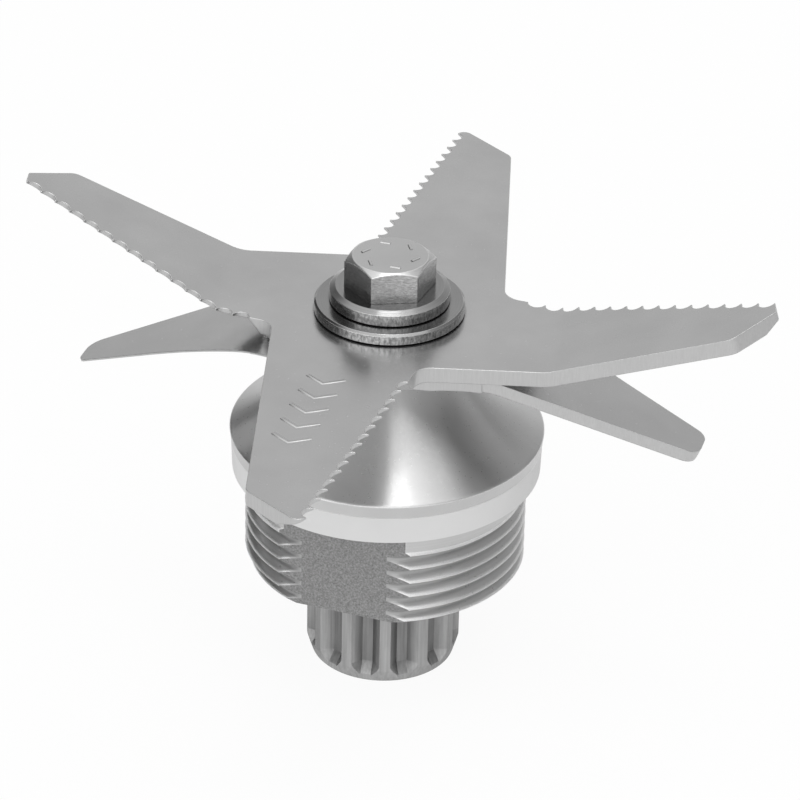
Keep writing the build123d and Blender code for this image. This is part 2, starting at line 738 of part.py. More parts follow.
def bearing(low):
    """A shielded ball bearing as its real pieces, standing on a height."""
    middle, high = low + BEARING_WIDTH / 2, low + BEARING_WIDTH
    groove_r = ball_r * RACE_CONFORMITY
    race = groove_r - ball_r - BALL_PLAY
    inner_shoulder = ball_circle_r - RING_SHOULDER
    outer_shoulder = ball_circle_r + RING_SHOULDER
    step_r = outer_shoulder + SHIELD_SEAT
    step = SHIELD_INSET + SHIELD_THICKNESS
    inner = ring(journal_r + BEARING_FIT, inner_shoulder, low, high)
    inner -= Pos(0, 0, middle) * Torus(ball_circle_r + race, groove_r)
    outer = ring(outer_shoulder, bore_r - BEARING_FIT, low, high)
    outer -= Pos(0, 0, middle) * Torus(ball_circle_r - race, groove_r)
    outer -= rod(step_r, low, low + step)
    outer -= rod(step_r, high - step, high)
    balls = spun(Pos(ball_circle_r, 0, middle) * Sphere(ball_r), BALL_COUNT)
    pocket = Pos(ball_circle_r, 0, middle) * Sphere(ball_r + CAGE_PLAY)
    cage_top = middle + ball_r + CAGE_PLAY + CAGE_BRIDGE
    cage = ring(
        ball_circle_r - CAGE_WIDTH / 2,
        ball_circle_r + CAGE_WIDTH / 2,
        middle - CAGE_BRIDGE * 2,
        cage_top,
    )
    cage -= spun(pocket, BALL_COUNT)
    shield_r = inner_shoulder + SHIELD_PLAY
    shields = [
        ring(shield_r, step_r - BEARING_FIT, low + SHIELD_INSET, low + step),
        ring(shield_r, step_r - BEARING_FIT, high - step, high - SHIELD_INSET),
    ]
    return {
        "outer_race": outer,
        "inner_race": inner,
        "balls": Compound(balls),
        "cage": cage,
        "shields": Compound(shields),
    }


def bore_circlip():
    """The retaining ring with two lugs, in its groove in the bore."""
    outer_r = bore_r + CIRCLIP_GROOVE - CIRCLIP_FIT
    inner_r = outer_r - CIRCLIP_WALL
    top = lower_bearing_bottom
    middle = (circlip_bottom + top) / 2
    body = ring(inner_r, outer_r, circlip_bottom, top)
    half = CIRCLIP_OPENING / 2
    centre = (0, 0)
    opening = make_face(
        Polyline(
            centre,
            forward(centre, CIRCLIP_DIRECTION - half, BEARING_OUTER),
            forward(centre, CIRCLIP_DIRECTION + half, BEARING_OUTER),
            close=True,
        )
    )
    body -= Pos(0, 0, circlip_bottom) * extrude(opening, CIRCLIP_THICKNESS)
    for side in (-1, 1):
        turn = CIRCLIP_DIRECTION + side * (half + CIRCLIP_LUG_TURN)
        lug = Pos(*forward(centre, turn, inner_r), middle)
        body += lug * Cylinder(CIRCLIP_LUG, CIRCLIP_THICKNESS)
        body -= lug * Cylinder(CIRCLIP_EYE / 2, 2 * CIRCLIP_THICKNESS)
    return body


def seal_case():
    """The lip seal's pressed metal case, flange below."""
    outer_r = seal_r - BEARING_FIT
    inner_r = outer_r - SEAL_CASE_WALL
    flange_r = inner_r - SEAL_FLANGE
    return turned(
        (flange_r, seal_bottom),
        (outer_r, seal_bottom),
        (outer_r, seal_top),
        (inner_r, seal_top),
        (inner_r, seal_bottom + SEAL_CASE_WALL),
        (flange_r, seal_bottom + SEAL_CASE_WALL),
    )


def seal_lip():
    """The rubber lip, bonded on the case's flange and facing the jar."""
    flange_r = seal_r - BEARING_FIT - SEAL_CASE_WALL - SEAL_FLANGE
    lip_r = seal_journal_r + LIP_PLAY
    seat = seal_bottom + SEAL_CASE_WALL
    band = spring_circle_r - SPRING_WIRE / 2 - BEARING_FIT
    waist = band - LIP_WAIST
    back_r = lip_r + LIP_TAPER
    foot_r = flange_r + SEAL_FLANGE * LIP_FOOT_SHARE
    foot_top = seat + SEAL_CASE_WALL
    return turned(
        (back_r, seal_bottom),
        (flange_r, seal_bottom),
        (flange_r, seat),
        (foot_r, seat),
        (foot_r, foot_top),
        (waist, foot_top + SEAL_CASE_WALL),
        (waist, seal_top - LIP_BAND_DROP - LIP_WAIST_LENGTH),
        (band, seal_top - LIP_BAND_DROP),
        (band, seal_top - LIP_TOP_DROP),
        (back_r, seal_top - LIP_TOP_DROP),
        (lip_r, seal_top - LIP_EDGE_DROP),
        (back_r, seal_top - LIP_BACK_DROP),
    )


def garter_spring():
    """The spring that presses the lip on the shaft."""
    return Pos(0, 0, seal_top - SPRING_DROP) * Torus(spring_circle_r, SPRING_WIRE / 2)


def drive_shaft():
    """The shaft: gear seat, bearing and seal journals, collar and blade tang."""
    gear_top = lower_bearing_bottom
    body = flatted_bar(GEAR_SEAT_WIDTH, GEAR_SEAT_FLATS, shaft_bottom, gear_top)
    body += rod(journal_r, gear_top, bearing_shoulder)
    body += rod(seal_journal_r, bearing_shoulder, collar_bottom)
    body += rod(COLLAR_WIDTH / 2, collar_bottom, blade_seat)
    body += flatted_bar(TANG_WIDTH, TANG_FLATS, blade_seat, tang_top)
    bolt_r = BOLT_SIZE / 2 + THREAD_PLAY
    screw_r = SCREW_SIZE / 2 + THREAD_PLAY
    body -= rod(bolt_r, tang_top - BOLT_HOLE_DEPTH, tang_top)
    body -= rod(screw_r, shaft_bottom, shaft_bottom + SCREW_HOLE_DEPTH)
    return body


def gear_groove(depth):
    """The outline of one groove between two teeth, at a depth."""
    tip_r = GEAR_WIDTH / 2
    step = 180 / GEAR_TEETH
    root_r = tip_r - GEAR_GROOVE_DEPTH
    foot = forward((0, 0), step - GEAR_ROOT_HALF, root_r)
    edge = forward((0, 0), step - GEAR_TIP_HALF, tip_r)
    slope = (edge[1] - foot[1]) / (edge[0] - foot[0])
    floor_x = foot[0] + GEAR_GROOVE_DEPTH - depth
    floor_y = foot[1]
    out = tip_r + 1
    return make_face(
        Polyline(
            (floor_x, floor_y),
            (out, floor_y + slope * (out - floor_x)),
            (out, -floor_y - slope * (out - floor_x)),
            (floor_x, -floor_y),
            close=True,
        )
    )


def drive_gear():
    """The toothed coupling that the blender's motor drives."""
    top, tip_r = neck_bottom - GEAR_GAP, GEAR_WIDTH / 2
    body = turned(
        (0, 0),
        (tip_r - GEAR_LEAD_RADIAL, 0),
        (tip_r, GEAR_LEAD_HEIGHT),
        (tip_r, top),
        (0, top),
    )
    full, shallow = gear_groove(GEAR_GROOVE_DEPTH), gear_groove(GEAR_RUNOUT_DEPTH)
    groove = Pos(0, 0, GEAR_RUNOUT_HIGH) * extrude(full, top)
    groove += loft([Pos(0, 0, GEAR_RUNOUT_LOW) * shallow, Pos(0, 0, GEAR_RUNOUT_HIGH) * full])
    groove += Pos(0, 0, -1) * extrude(shallow, GEAR_RUNOUT_LOW + 1)
    turn = GEAR_TOOTH_ANGLE + 180 / GEAR_TEETH
    body -= [Rot(0, 0, turn) * cut for cut in spun(groove, GEAR_TEETH)]
    body += rod(GEAR_BOSS_WIDTH / 2, top, lower_bearing_bottom)
    body -= flatted_bar(
        GEAR_SEAT_WIDTH + 2 * DRIVE_PLAY,
        GEAR_SEAT_FLATS + 2 * DRIVE_PLAY,
        0,
        lower_bearing_bottom,
    )
    body -= rod(GEAR_RECESS_WIDTH / 2, 0, GEAR_RECESS_DEPTH)
    return body


def hex_bar(flats, low, high):
    """A six-sided bar between two heights, one corner towards +X."""
    corner_r = flats / 2 / cos(pi / 6)
    return Pos(0, 0, low) * extrude(RegularPolygon(corner_r, 6), high - low)


def gear_screw():
    """The cap screw that holds the gear on the shaft, from below."""
    head_top = gear_washer_bottom
    head_low = head_top - SCREW_HEAD_HEIGHT
    body = rod(SCREW_HEAD_WIDTH / 2, head_low, head_top)
    body = chamfer(body.edges().group_by(Axis.Z)[0], SCREW_HEAD_EDGE)
    body += rod(SCREW_SIZE / 2, head_top, head_top + SCREW_LENGTH)
    body -= hex_bar(SCREW_SOCKET, head_low, head_low + SCREW_SOCKET_DEPTH)
    return body


def blade_bolt():
    """The hex bolt that clamps the blades, crowned on top."""
    top = head_bottom + BOLT_HEAD
    corner_r = BOLT_FLATS / 2 / cos(pi / 6)
    crown_r = BOLT_FLATS * BOLT_CROWN / 2
    drop = (corner_r - crown_r) * tan(radians(30))
    head = Rot(0, 0, BOLT_TURN) * hex_bar(BOLT_FLATS, head_bottom, top)
    head &= turned(
        (0, head_bottom),
        (corner_r + 0.1, head_bottom),
        (corner_r + 0.1, top - drop - 0.1 * tan(radians(30))),
        (crown_r, top),
        (0, top),
    )
    return head + rod(BOLT_SIZE / 2, head_bottom - BOLT_LENGTH, head_bottom)


def upper_washer():
    """The thick washer under the bolt's head, with a sloping shoulder."""
    r, low, high = UPPER_WASHER_WIDTH / 2, upper_washer_bottom, head_bottom
    bore = BOLT_SIZE / 2 + BOLT_PLAY
    body = turned(
        (bore, low),
        (r - 0.2, low),
        (r, low + 0.2),
        (r, high - UPPER_WASHER_RISE),
        (r - UPPER_WASHER_BEVEL, high),
        (bore, high),
    )
    return body


def lower_washer():
    """The wide washer on the blades."""
    r, low, high = LOWER_WASHER_WIDTH / 2, upper_blade_top, upper_washer_bottom
    e = LOWER_WASHER_EDGE
    bore = BOLT_SIZE / 2 + BOLT_PLAY
    return turned(
        (bore, low),
        (r - e, low),
        (r, low + e),
        (r, high - e),
        (r - e, high),
        (bore, high),
    )


def gear_washer():
    """The washer between the gear and its screw."""
    return ring(
        SCREW_SIZE / 2 + BOLT_PLAY,
        GEAR_WASHER_WIDTH / 2,
        gear_washer_bottom,
        gear_washer_top,
    )


def outer_spacer():
    """The sleeve between the two outer rings."""
    r = bore_r - BEARING_FIT
    return ring(r - SPACER_WALL, r, spacer_bottom, upper_bearing_bottom)


def inner_spacer():
    """The sleeve between the two inner rings."""
    r = journal_r + BEARING_FIT
    return ring(r, r + SPACER_WALL, spacer_bottom, upper_bearing_bottom)


PIECES = {
    "housing": housing,
    "flange_gasket": flange_gasket,
    "bore_circlip": bore_circlip,
    "outer_spacer": outer_spacer,
    "inner_spacer": inner_spacer,
    "seal_case": seal_case,
    "seal_lip": seal_lip,
    "garter_spring": garter_spring,
    "drive_shaft": drive_shaft,
    "drive_gear": drive_gear,
    "gear_washer": gear_washer,
    "gear_screw": gear_screw,
    "lower_blade": lower_blade,
    "upper_blade": upper_blade,
    "lower_washer": lower_washer,
    "upper_washer": upper_washer,
    "blade_bolt": blade_bolt,
}


def main():
    """Build every piece and write each to a file of its own."""
    os.makedirs("parts", exist_ok=True)
    nodes = {name: build() for name, build in PIECES.items()}
    for place, low in (("lower", lower_bearing_bottom), ("upper", upper_bearing_bottom)):
        for name, piece in bearing(low).items():
            nodes[f"{place}_bearing_{name}"] = piece
    for name, piece in nodes.items():
        export_step(piece, f"parts/{name}.step")


if __name__ == "__main__":
    main()
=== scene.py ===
"""Blade assembly of a countertop blender: its finishes, stamped marks, light and camera."""

from __future__ import annotations

import logging
import math
from collections.abc import Callable
from dataclasses import dataclass
from enum import Enum
from typing import Any

import bpy
from mathutils import Matrix, Vector

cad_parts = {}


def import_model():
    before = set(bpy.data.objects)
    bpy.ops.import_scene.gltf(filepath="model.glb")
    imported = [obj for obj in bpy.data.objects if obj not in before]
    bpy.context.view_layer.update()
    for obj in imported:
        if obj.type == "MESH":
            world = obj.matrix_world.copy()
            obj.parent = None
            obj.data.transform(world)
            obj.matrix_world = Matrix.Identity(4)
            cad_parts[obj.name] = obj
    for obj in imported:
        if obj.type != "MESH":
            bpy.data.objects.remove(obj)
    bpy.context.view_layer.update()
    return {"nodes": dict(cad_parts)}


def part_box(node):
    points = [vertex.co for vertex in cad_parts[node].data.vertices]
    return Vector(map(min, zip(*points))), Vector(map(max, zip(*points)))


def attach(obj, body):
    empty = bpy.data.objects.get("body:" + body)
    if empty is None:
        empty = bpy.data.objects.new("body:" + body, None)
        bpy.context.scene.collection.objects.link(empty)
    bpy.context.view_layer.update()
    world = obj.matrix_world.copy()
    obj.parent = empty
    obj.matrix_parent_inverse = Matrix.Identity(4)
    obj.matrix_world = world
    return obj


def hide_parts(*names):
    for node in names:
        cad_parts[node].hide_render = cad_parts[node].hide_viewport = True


LOG = logging.getLogger("blade_assembly")
MM = 0.001

PICTURE_SIDE = 800.0
SENSOR_WIDTH = 36.0
CLIP_NEAR = 0.01
CLIP_FAR = 20.0

Span = tuple[float, float]
Socket = bpy.types.NodeSocket
Source = Socket | float | int | tuple[float, ...]

# Noise patterns: how many finer layers they have, and the part of their range that is used
FEW_LAYERS = 2.0
SOME_LAYERS = 3.0
MANY_LAYERS = 4.0
NOISE_MIDDLE = 0.5
NOISE_SPAN: Span = (0.3, 0.7)
WIDE_SPAN: Span = (0.25, 0.75)

BEVEL_SAMPLES = 6
CONTACT_SHADE_SAMPLES = 4
QUARTER_TURN = 0.25


class Net:
    """A node tree that is filled through short calls."""

    def __init__(self, tree: bpy.types.NodeTree) -> None:
        """Keep the tree that the calls fill.

        Args:
            tree: The node tree of a material, a world or a modifier.
        """
        self.tree = tree

    def add(self, kind: str, inputs: dict[str | int, Source] | None = None, **settings: Any) -> bpy.types.Node:
        """Add a node.

        Args:
            kind: The node's type name.
            inputs: What each named or numbered input gets.
            **settings: The node's own properties.

        Returns:
            The new node.
        """
        node = self.tree.nodes.new(kind)
        for name, value in settings.items():
            setattr(node, name, value)
        for name, value in (inputs or {}).items():
            self.feed(node.inputs[name], value)
        return node

    def feed(self, socket: Socket, value: Source) -> None:
        """Link an output to an input, or set the input's own value.

        Args:
            socket: The input.
            value: An output socket, or a plain value.
        """
        if isinstance(value, bpy.types.NodeSocket):
            self.tree.links.new(value, socket)
        else:
            socket.default_value = value

    def math(self, operation: str, *values: Source) -> Socket:
        """Work out a number from one or two others.

        Args:
            operation: The math node's operation.
            *values: Its operands.

        Returns:
            The result's socket.
        """
        return self.add("ShaderNodeMath", dict(enumerate(values)), operation=operation).outputs[0]

    def scaled(self, value: Source, factor: Source, *more: Source) -> Socket:
        """Multiply a number by one or more others, in turn.

        Args:
            value: The number.
            factor: What it is multiplied by.
            *more: What the product is multiplied by after that.

        Returns:
            The last product's socket.
        """
        product = self.math("MULTIPLY", value, factor)
        for extra in more:
            product = self.math("MULTIPLY", product, extra)
        return product

    def measure(self, operation: str, *vectors: Source) -> Socket:
        """Work out a number from one or two vectors.

        Args:
            operation: The vector math node's operation, which gives a number.
            *vectors: Its operands.

        Returns:
            The number's socket.
        """
        node = self.add("ShaderNodeVectorMath", dict(enumerate(vectors)), operation=operation)
        return node.outputs["Value"]

    def split(self, vector: Source) -> tuple[Socket, Socket, Socket]:
        """Take a vector apart.

        Args:
            vector: The vector.

        Returns:
            Its three components.
        """
        x, y, z = self.add("ShaderNodeSeparateXYZ", {0: vector}).outputs
        return x, y, z

    def join(self, x: Source, y: Source, z: Source) -> Socket:
        """Put a vector together.

        Args:
            x: First component.
            y: Second component.
            z: Third component.

        Returns:
            The vector's socket.
        """
        return self.add("ShaderNodeCombineXYZ", {0: x, 1: y, 2: z}).outputs[0]

    def ramp(self, value: Source, span: Span, start: float, end: float) -> Socket:
        """Map a range of a number to another, held at both ends.

        Args:
            value: The number.
            span: Where the range starts and ends.
            start: The result at its start.
            end: The result at its end.

        Returns:
            The result's socket.
        """
        low, high = span
        return self.add("ShaderNodeMapRange", {0: value, 1: low, 2: high, 3: start, 4: end}).outputs[0]

    def shade(self, pattern: Source, level: float, shades: Span) -> Socket:
        """Let a noise pattern swing a level between two shares of itself.

        Args:
            pattern: The pattern, from 0 to 1.
            level: The level.
            shades: The lowest and the highest share.

        Returns:
            The swung level's socket.
        """
        low, high = shades
        return self.ramp(pattern, NOISE_SPAN, level * low, level * high)

    def blend(self, share: Source, first: Source, second: Source) -> Socket:
        """Mix two numbers.

        Args:
            share: How much of the second, from 0 to 1.
            first: The first number.
            second: The second number.

        Returns:
            The mixed number's socket.
        """
        return self.add("ShaderNodeMix", {0: share, 2: first, 3: second}, data_type="FLOAT").outputs[0]

    def blend_directions(self, share: Source, first: Source, second: Source) -> Socket:
        """Mix two surface directions.

        Args:
            share: How much of the second, from 0 to 1.
            first: The first direction.
            second: The second direction.

        Returns:
            The mixed direction's socket.
        """
        return self.add("ShaderNodeMix", {0: share, 4: first, 5: second}, data_type="VECTOR").outputs[1]

    def noise(self, place: Source, size: float, detail: float, roughness: float = 0.5) -> Socket:
        """A cloudy pattern from 0 to 1.

        Args:
            place: Where it is read, in metres.
            size: The size of its spots in millimetres.
            detail: How many finer layers it has.
            roughness: How strong the finer layers are.

        Returns:
            The pattern's socket.
        """
        node = self.add(
            "ShaderNodeTexNoise",
            {"Vector": place, "Scale": 1.0 / (size * MM), "Detail": detail, "Roughness": roughness},
        )
        return node.outputs[0]

    def here(self) -> Socket:
        """The place on the piece, in metres, in the object's own frame."""
        return self.add("ShaderNodeTexCoord").outputs["Object"]

    def facing(self) -> Socket:
        """The surface's direction, in the object's own frame."""
        return self.add("ShaderNodeTexCoord").outputs["Normal"]

    def upright(self) -> Socket:
        """How far the surface faces up or down, from 0 on a wall to 1 on a floor."""
        return self.math("ABSOLUTE", self.split(self.facing())[2])

    def stretched(self, place: Source, share: float) -> Socket:
        """A place whose height counts for less or more, which stretches or flattens a pattern.

        Args:
            place: The place.
            share: How much the height counts.

        Returns:
            The changed place's socket.
        """
        x, y, z = self.split(place)
        return self.join(x, y, self.math("MULTIPLY", z, share))

    def round_place(self, place: Source) -> tuple[Socket, Socket]:
        """Distance from the shaft's axis, and height.

        Args:
            place: A place on the piece.

        Returns:
            The radius and the height, in metres.
        """
        x, y, z = self.split(place)
        radius = self.measure("LENGTH", self.join(x, y, 0.0))
        return radius, z

    def bump(self, height: Source, depth: float, before: Source | None = None) -> Socket:
        """Turn a height pattern into a bumpy surface direction.

        Args:
            height: The pattern, from 0 to 1.
            depth: How deep it is, in millimetres.
            before: A surface direction that it adds to.

        Returns:
            The direction's socket.
        """
        inputs: dict[str | int, Source] = {"Height": height, "Distance": depth * MM, "Strength": 1.0}
        if before is not None:
            inputs["Normal"] = before
        return self.add("ShaderNodeBump", inputs).outputs[0]

    def rod(self, path: Source, radius: Source, sides: Source) -> Socket:
        """Draw a closed round rod along a curve.

        Args:
            path: The curve.
            radius: The rod's radius.
            sides: How many sides stand for its roundness.

        Returns:
            The rod's mesh.
        """
        profile = self.add("GeometryNodeCurvePrimitiveCircle", {"Resolution": sides, "Radius": radius})
        along = {0: path, 1: profile.outputs[0], "Fill Caps": True}
        return self.add("GeometryNodeCurveToMesh", along).outputs[0]

    def soft_edges(self, radius: Source) -> Socket:
        """The surface's direction with its sharp edges eased.

        Args:
            radius: The easing's radius in metres.

        Returns:
            The direction's socket.
        """
        return self.add("ShaderNodeBevel", {"Radius": radius}, samples=BEVEL_SAMPLES).outputs[0]


@dataclass(frozen=True)
class Finish:
    """A surface finish: one grey, one gloss, and a fine unevenness in both.

    Sizes and depths are in millimetres, greys and shares run from 0 to 1, and a
    span is the range of a slope, a place or a pattern over which a look changes.
    """

    name: str
    grey: float = 0.6
    gloss_spread: float = 0.3
    metal: float = 1.0
    cloud: float = 9.0
    mottle: float = 0.05
    grain: float = 0.4
    grain_roughness: float = 0.6
    grain_depth: float = 0.002
    gloss_swing: float = 0.12
    edge_radius: float = 0.0
    glint_grey: float = 0.0
    glint_span: Span = (0.99, 0.92)
    contact_shade_reach: float = 0.0
    contact_shade_share: float = 0.3
    contact_shade_span: Span = (0.35, 0.75)

    def material(self) -> bpy.types.Material:
        """Make the finish's material.

        Returns:
            A new material with its node tree.
        """
        made = bpy.data.materials.new(self.name)
        made.use_nodes = True
        made.node_tree.nodes.clear()
        net = Net(made.node_tree)
        shader = net.add("ShaderNodeBsdfPrincipled", {"Metallic": self.metal})
        output = net.add("ShaderNodeOutputMaterial")
        made.node_tree.links.new(shader.outputs[0], output.inputs[0])
        self.paint(net, shader)
        return made

    def paint(self, net: Net, shader: bpy.types.Node) -> None:
        """Fill the shader's colour, roughness and surface direction.

        Args:
            net: The material's tree.
            shader: Its surface shader.
        """
        grey, spread, normal = self.plain(net, net.here())
        self.apply(net, shader, grey, spread, normal)

    def plain(self, net: Net, place: Source) -> tuple[Socket, Socket, Socket]:
        """The finish's own uneven grey, gloss and grain.

        Args:
            net: The material's tree.
            place: Where the patterns are read.

        Returns:
            The grey, the roughness and the surface direction.
        """
        cloud = net.noise(place, self.cloud, SOME_LAYERS)
        grey = net.shade(cloud, self.grey, (1 - self.mottle, 1 + self.mottle))
        fine = net.noise(place, self.grain, SOME_LAYERS, self.grain_roughness)
        swing = self.gloss_spread * self.gloss_swing
        spread = net.ramp(fine, WIDE_SPAN, self.gloss_spread - swing, self.gloss_spread + swing)
        eased = net.soft_edges(self.easing(net, place)) if self.edge_radius else None
        # Painted highlight: sharp edges, found where the eased direction turns from the true one, are lifted to a
        # bright grey that stands in for edges catching the light.
        if eased is not None and self.glint_grey:
            sharp = net.add("ShaderNodeNewGeometry").outputs["True Normal"]
            glint = net.ramp(net.measure("DOT_PRODUCT", eased, sharp), self.glint_span, 0.0, 1.0)
            grey = net.blend(net.scaled(glint, self.glint_share(net, place)), grey, self.glint_grey)
        # Painted shade: the grey darkens where ambient occlusion finds surfaces close by, at contacts and in creases.
        if self.contact_shade_reach:
            contact_shade = net.add(
                "ShaderNodeAmbientOcclusion", {"Distance": self.contact_shade_reach * MM}, samples=CONTACT_SHADE_SAMPLES
            )
            grey = net.scaled(grey, net.ramp(contact_shade.outputs["AO"], self.contact_shade_span, self.contact_shade_share, 1.0))
        normal = net.bump(fine, self.grain_depth, eased)
        return grey, spread, normal

    def easing(self, net: Net, place: Source) -> Source:
        """How far edges are eased, which here is the same everywhere.

        Args:
            net: The material's tree, not used.
            place: A place on the piece, not used.

        Returns:
            The easing's radius in metres.
        """
        return self.edge_radius * MM

    def glint_share(self, net: Net, place: Source) -> Source:
        """Where edges get the painted highlight, which here is everywhere.

        Args:
            net: The material's tree, not used.
            place: A place on the piece, not used.

        Returns:
            The share of the painted highlight.
        """
        return 1.0

    @staticmethod
    def apply(net: Net, shader: bpy.types.Node, grey: Source, spread: Source, normal: Source) -> None:
        """Link a grey, a roughness and a direction to the shader.

        Args:
            net: The material's tree.
            shader: Its surface shader.
            grey: The grey level.
            spread: The roughness.
            normal: The surface direction.
        """
        net.feed(shader.inputs["Base Color"], net.join(grey, grey, grey))
        net.feed(shader.inputs["Roughness"], spread)
        net.feed(shader.inputs["Normal"], normal)


@dataclass(frozen=True)
class BladeFinish(Finish):
    """Polished sheet whose sheared and ground edges are paler and less glossy."""

    edge_grey: float = 0.54
    edge_spread: float = 0.38
    edge_span: Span = (0.35, 0.6)
    shear_line: float = 0.12
    shear_stretch: float = 0.06
    shear_depth: float = 0.003
    shear_shades: Span = (0.95, 1.04)

    def paint(self, net: Net, shader: bpy.types.Node) -> None:
        """Fill the shader, edges apart from faces.

        Args:
            net: The material's tree.
            shader: Its surface shader.
        """
        place = net.here()
        grey, spread, normal = self.plain(net, place)
        edge = net.ramp(net.upright(), self.edge_span, 1.0, 0.0)
        lines = net.noise(net.stretched(place, self.shear_stretch), self.shear_line, FEW_LAYERS)
        grey = net.blend(edge, grey, net.shade(lines, self.edge_grey, self.shear_shades))
        spread = net.blend(edge, spread, self.edge_spread)
        self.apply(net, shader, grey, spread, net.bump(net.scaled(lines, edge), self.shear_depth, normal))


@dataclass(frozen=True)
class TurnedFinish(Finish):
    """Lathe-turned metal: fine rings, and a gloss that spreads across them."""

    ring: float = 0.16
    ring_roughness: float = 0.65
    ring_depth: float = 0.004
    ring_shades: Span = (0.93, 1.07)
    across: float = 0.55
    speckle: float = 0.0
    speckle_size: float = 0.3
    speckle_stretch: float = 0.5
    speckle_roughness: float = 0.6
    speckle_depth: float = 0.02
    side_span: Span = (0.3, 0.7)
    top_shade_span: Span = (0.45, 0.85)
    top_shade_share: float = 1.0

    def rings(self, net: Net, place: Source) -> Socket:
        """The pattern of the lathe's fine rings, by radius and height.

        Args:
            net: The material's tree.
            place: A place on the piece.

        Returns:
            The pattern's socket.
        """
        radius, height = net.round_place(place)
        return net.noise(net.join(radius, height, 0.0), self.ring, SOME_LAYERS, self.ring_roughness)

    def ringed(self, net: Net, place: Source) -> Source:
        """Where the rings can be felt, which here is everywhere.

        Args:
            net: The material's tree, not used.
            place: A place on the piece, not used.

        Returns:
            The share of the rings' depth.
        """
        return 1.0

    def turned(self, net: Net, shader: bpy.types.Node, place: Source) -> tuple[Socket, Socket, Socket]:
        """The turned surface's grey, roughness and direction.

        Args:
            net: The material's tree.
            shader: Its surface shader, which gets the spread across the rings.
            place: A place on the piece.

        Returns:
            The grey, the roughness and the surface direction.
        """
        grey, spread, normal = self.plain(net, place)
        rings = net.blend(self.ringed(net, place), NOISE_MIDDLE, self.rings(net, place))
        shader.inputs["Anisotropic"].default_value = self.across
        shader.inputs["Anisotropic Rotation"].default_value = QUARTER_TURN
        tangent = net.add("ShaderNodeTangent", direction_type="RADIAL", axis="Z")
        net.feed(shader.inputs["Tangent"], tangent.outputs[0])
        grey = net.scaled(grey, net.ramp(rings, WIDE_SPAN, *self.ring_shades))
        normal = net.bump(rings, self.ring_depth, normal)
        if self.speckle:
            stretched = net.stretched(place, self.speckle_stretch)
            spots = net.noise(stretched, self.speckle_size, FEW_LAYERS, self.speckle_roughness)
            level = net.upright()
            spots = net.blend(net.ramp(level, self.side_span, 1.0, 0.0), NOISE_MIDDLE, spots)
            # Painted shade: faces that look up or down get a darker grey than the sides.
            top = net.ramp(level, self.top_shade_span, 1.0, self.top_shade_share)
            grey = net.scaled(grey, top, net.shade(spots, 1.0, (1 - self.speckle, 1 + self.speckle)))
            normal = net.bump(spots, self.speckle_depth * self.speckle, normal)
        return grey, spread, normal

    def paint(self, net: Net, shader: bpy.types.Node) -> None:
        """Fill the shader with the turned surface.

        Args:
            net: The material's tree.
            shader: Its surface shader.
        """
        self.apply(net, shader, *self.turned(net, shader, net.here()))


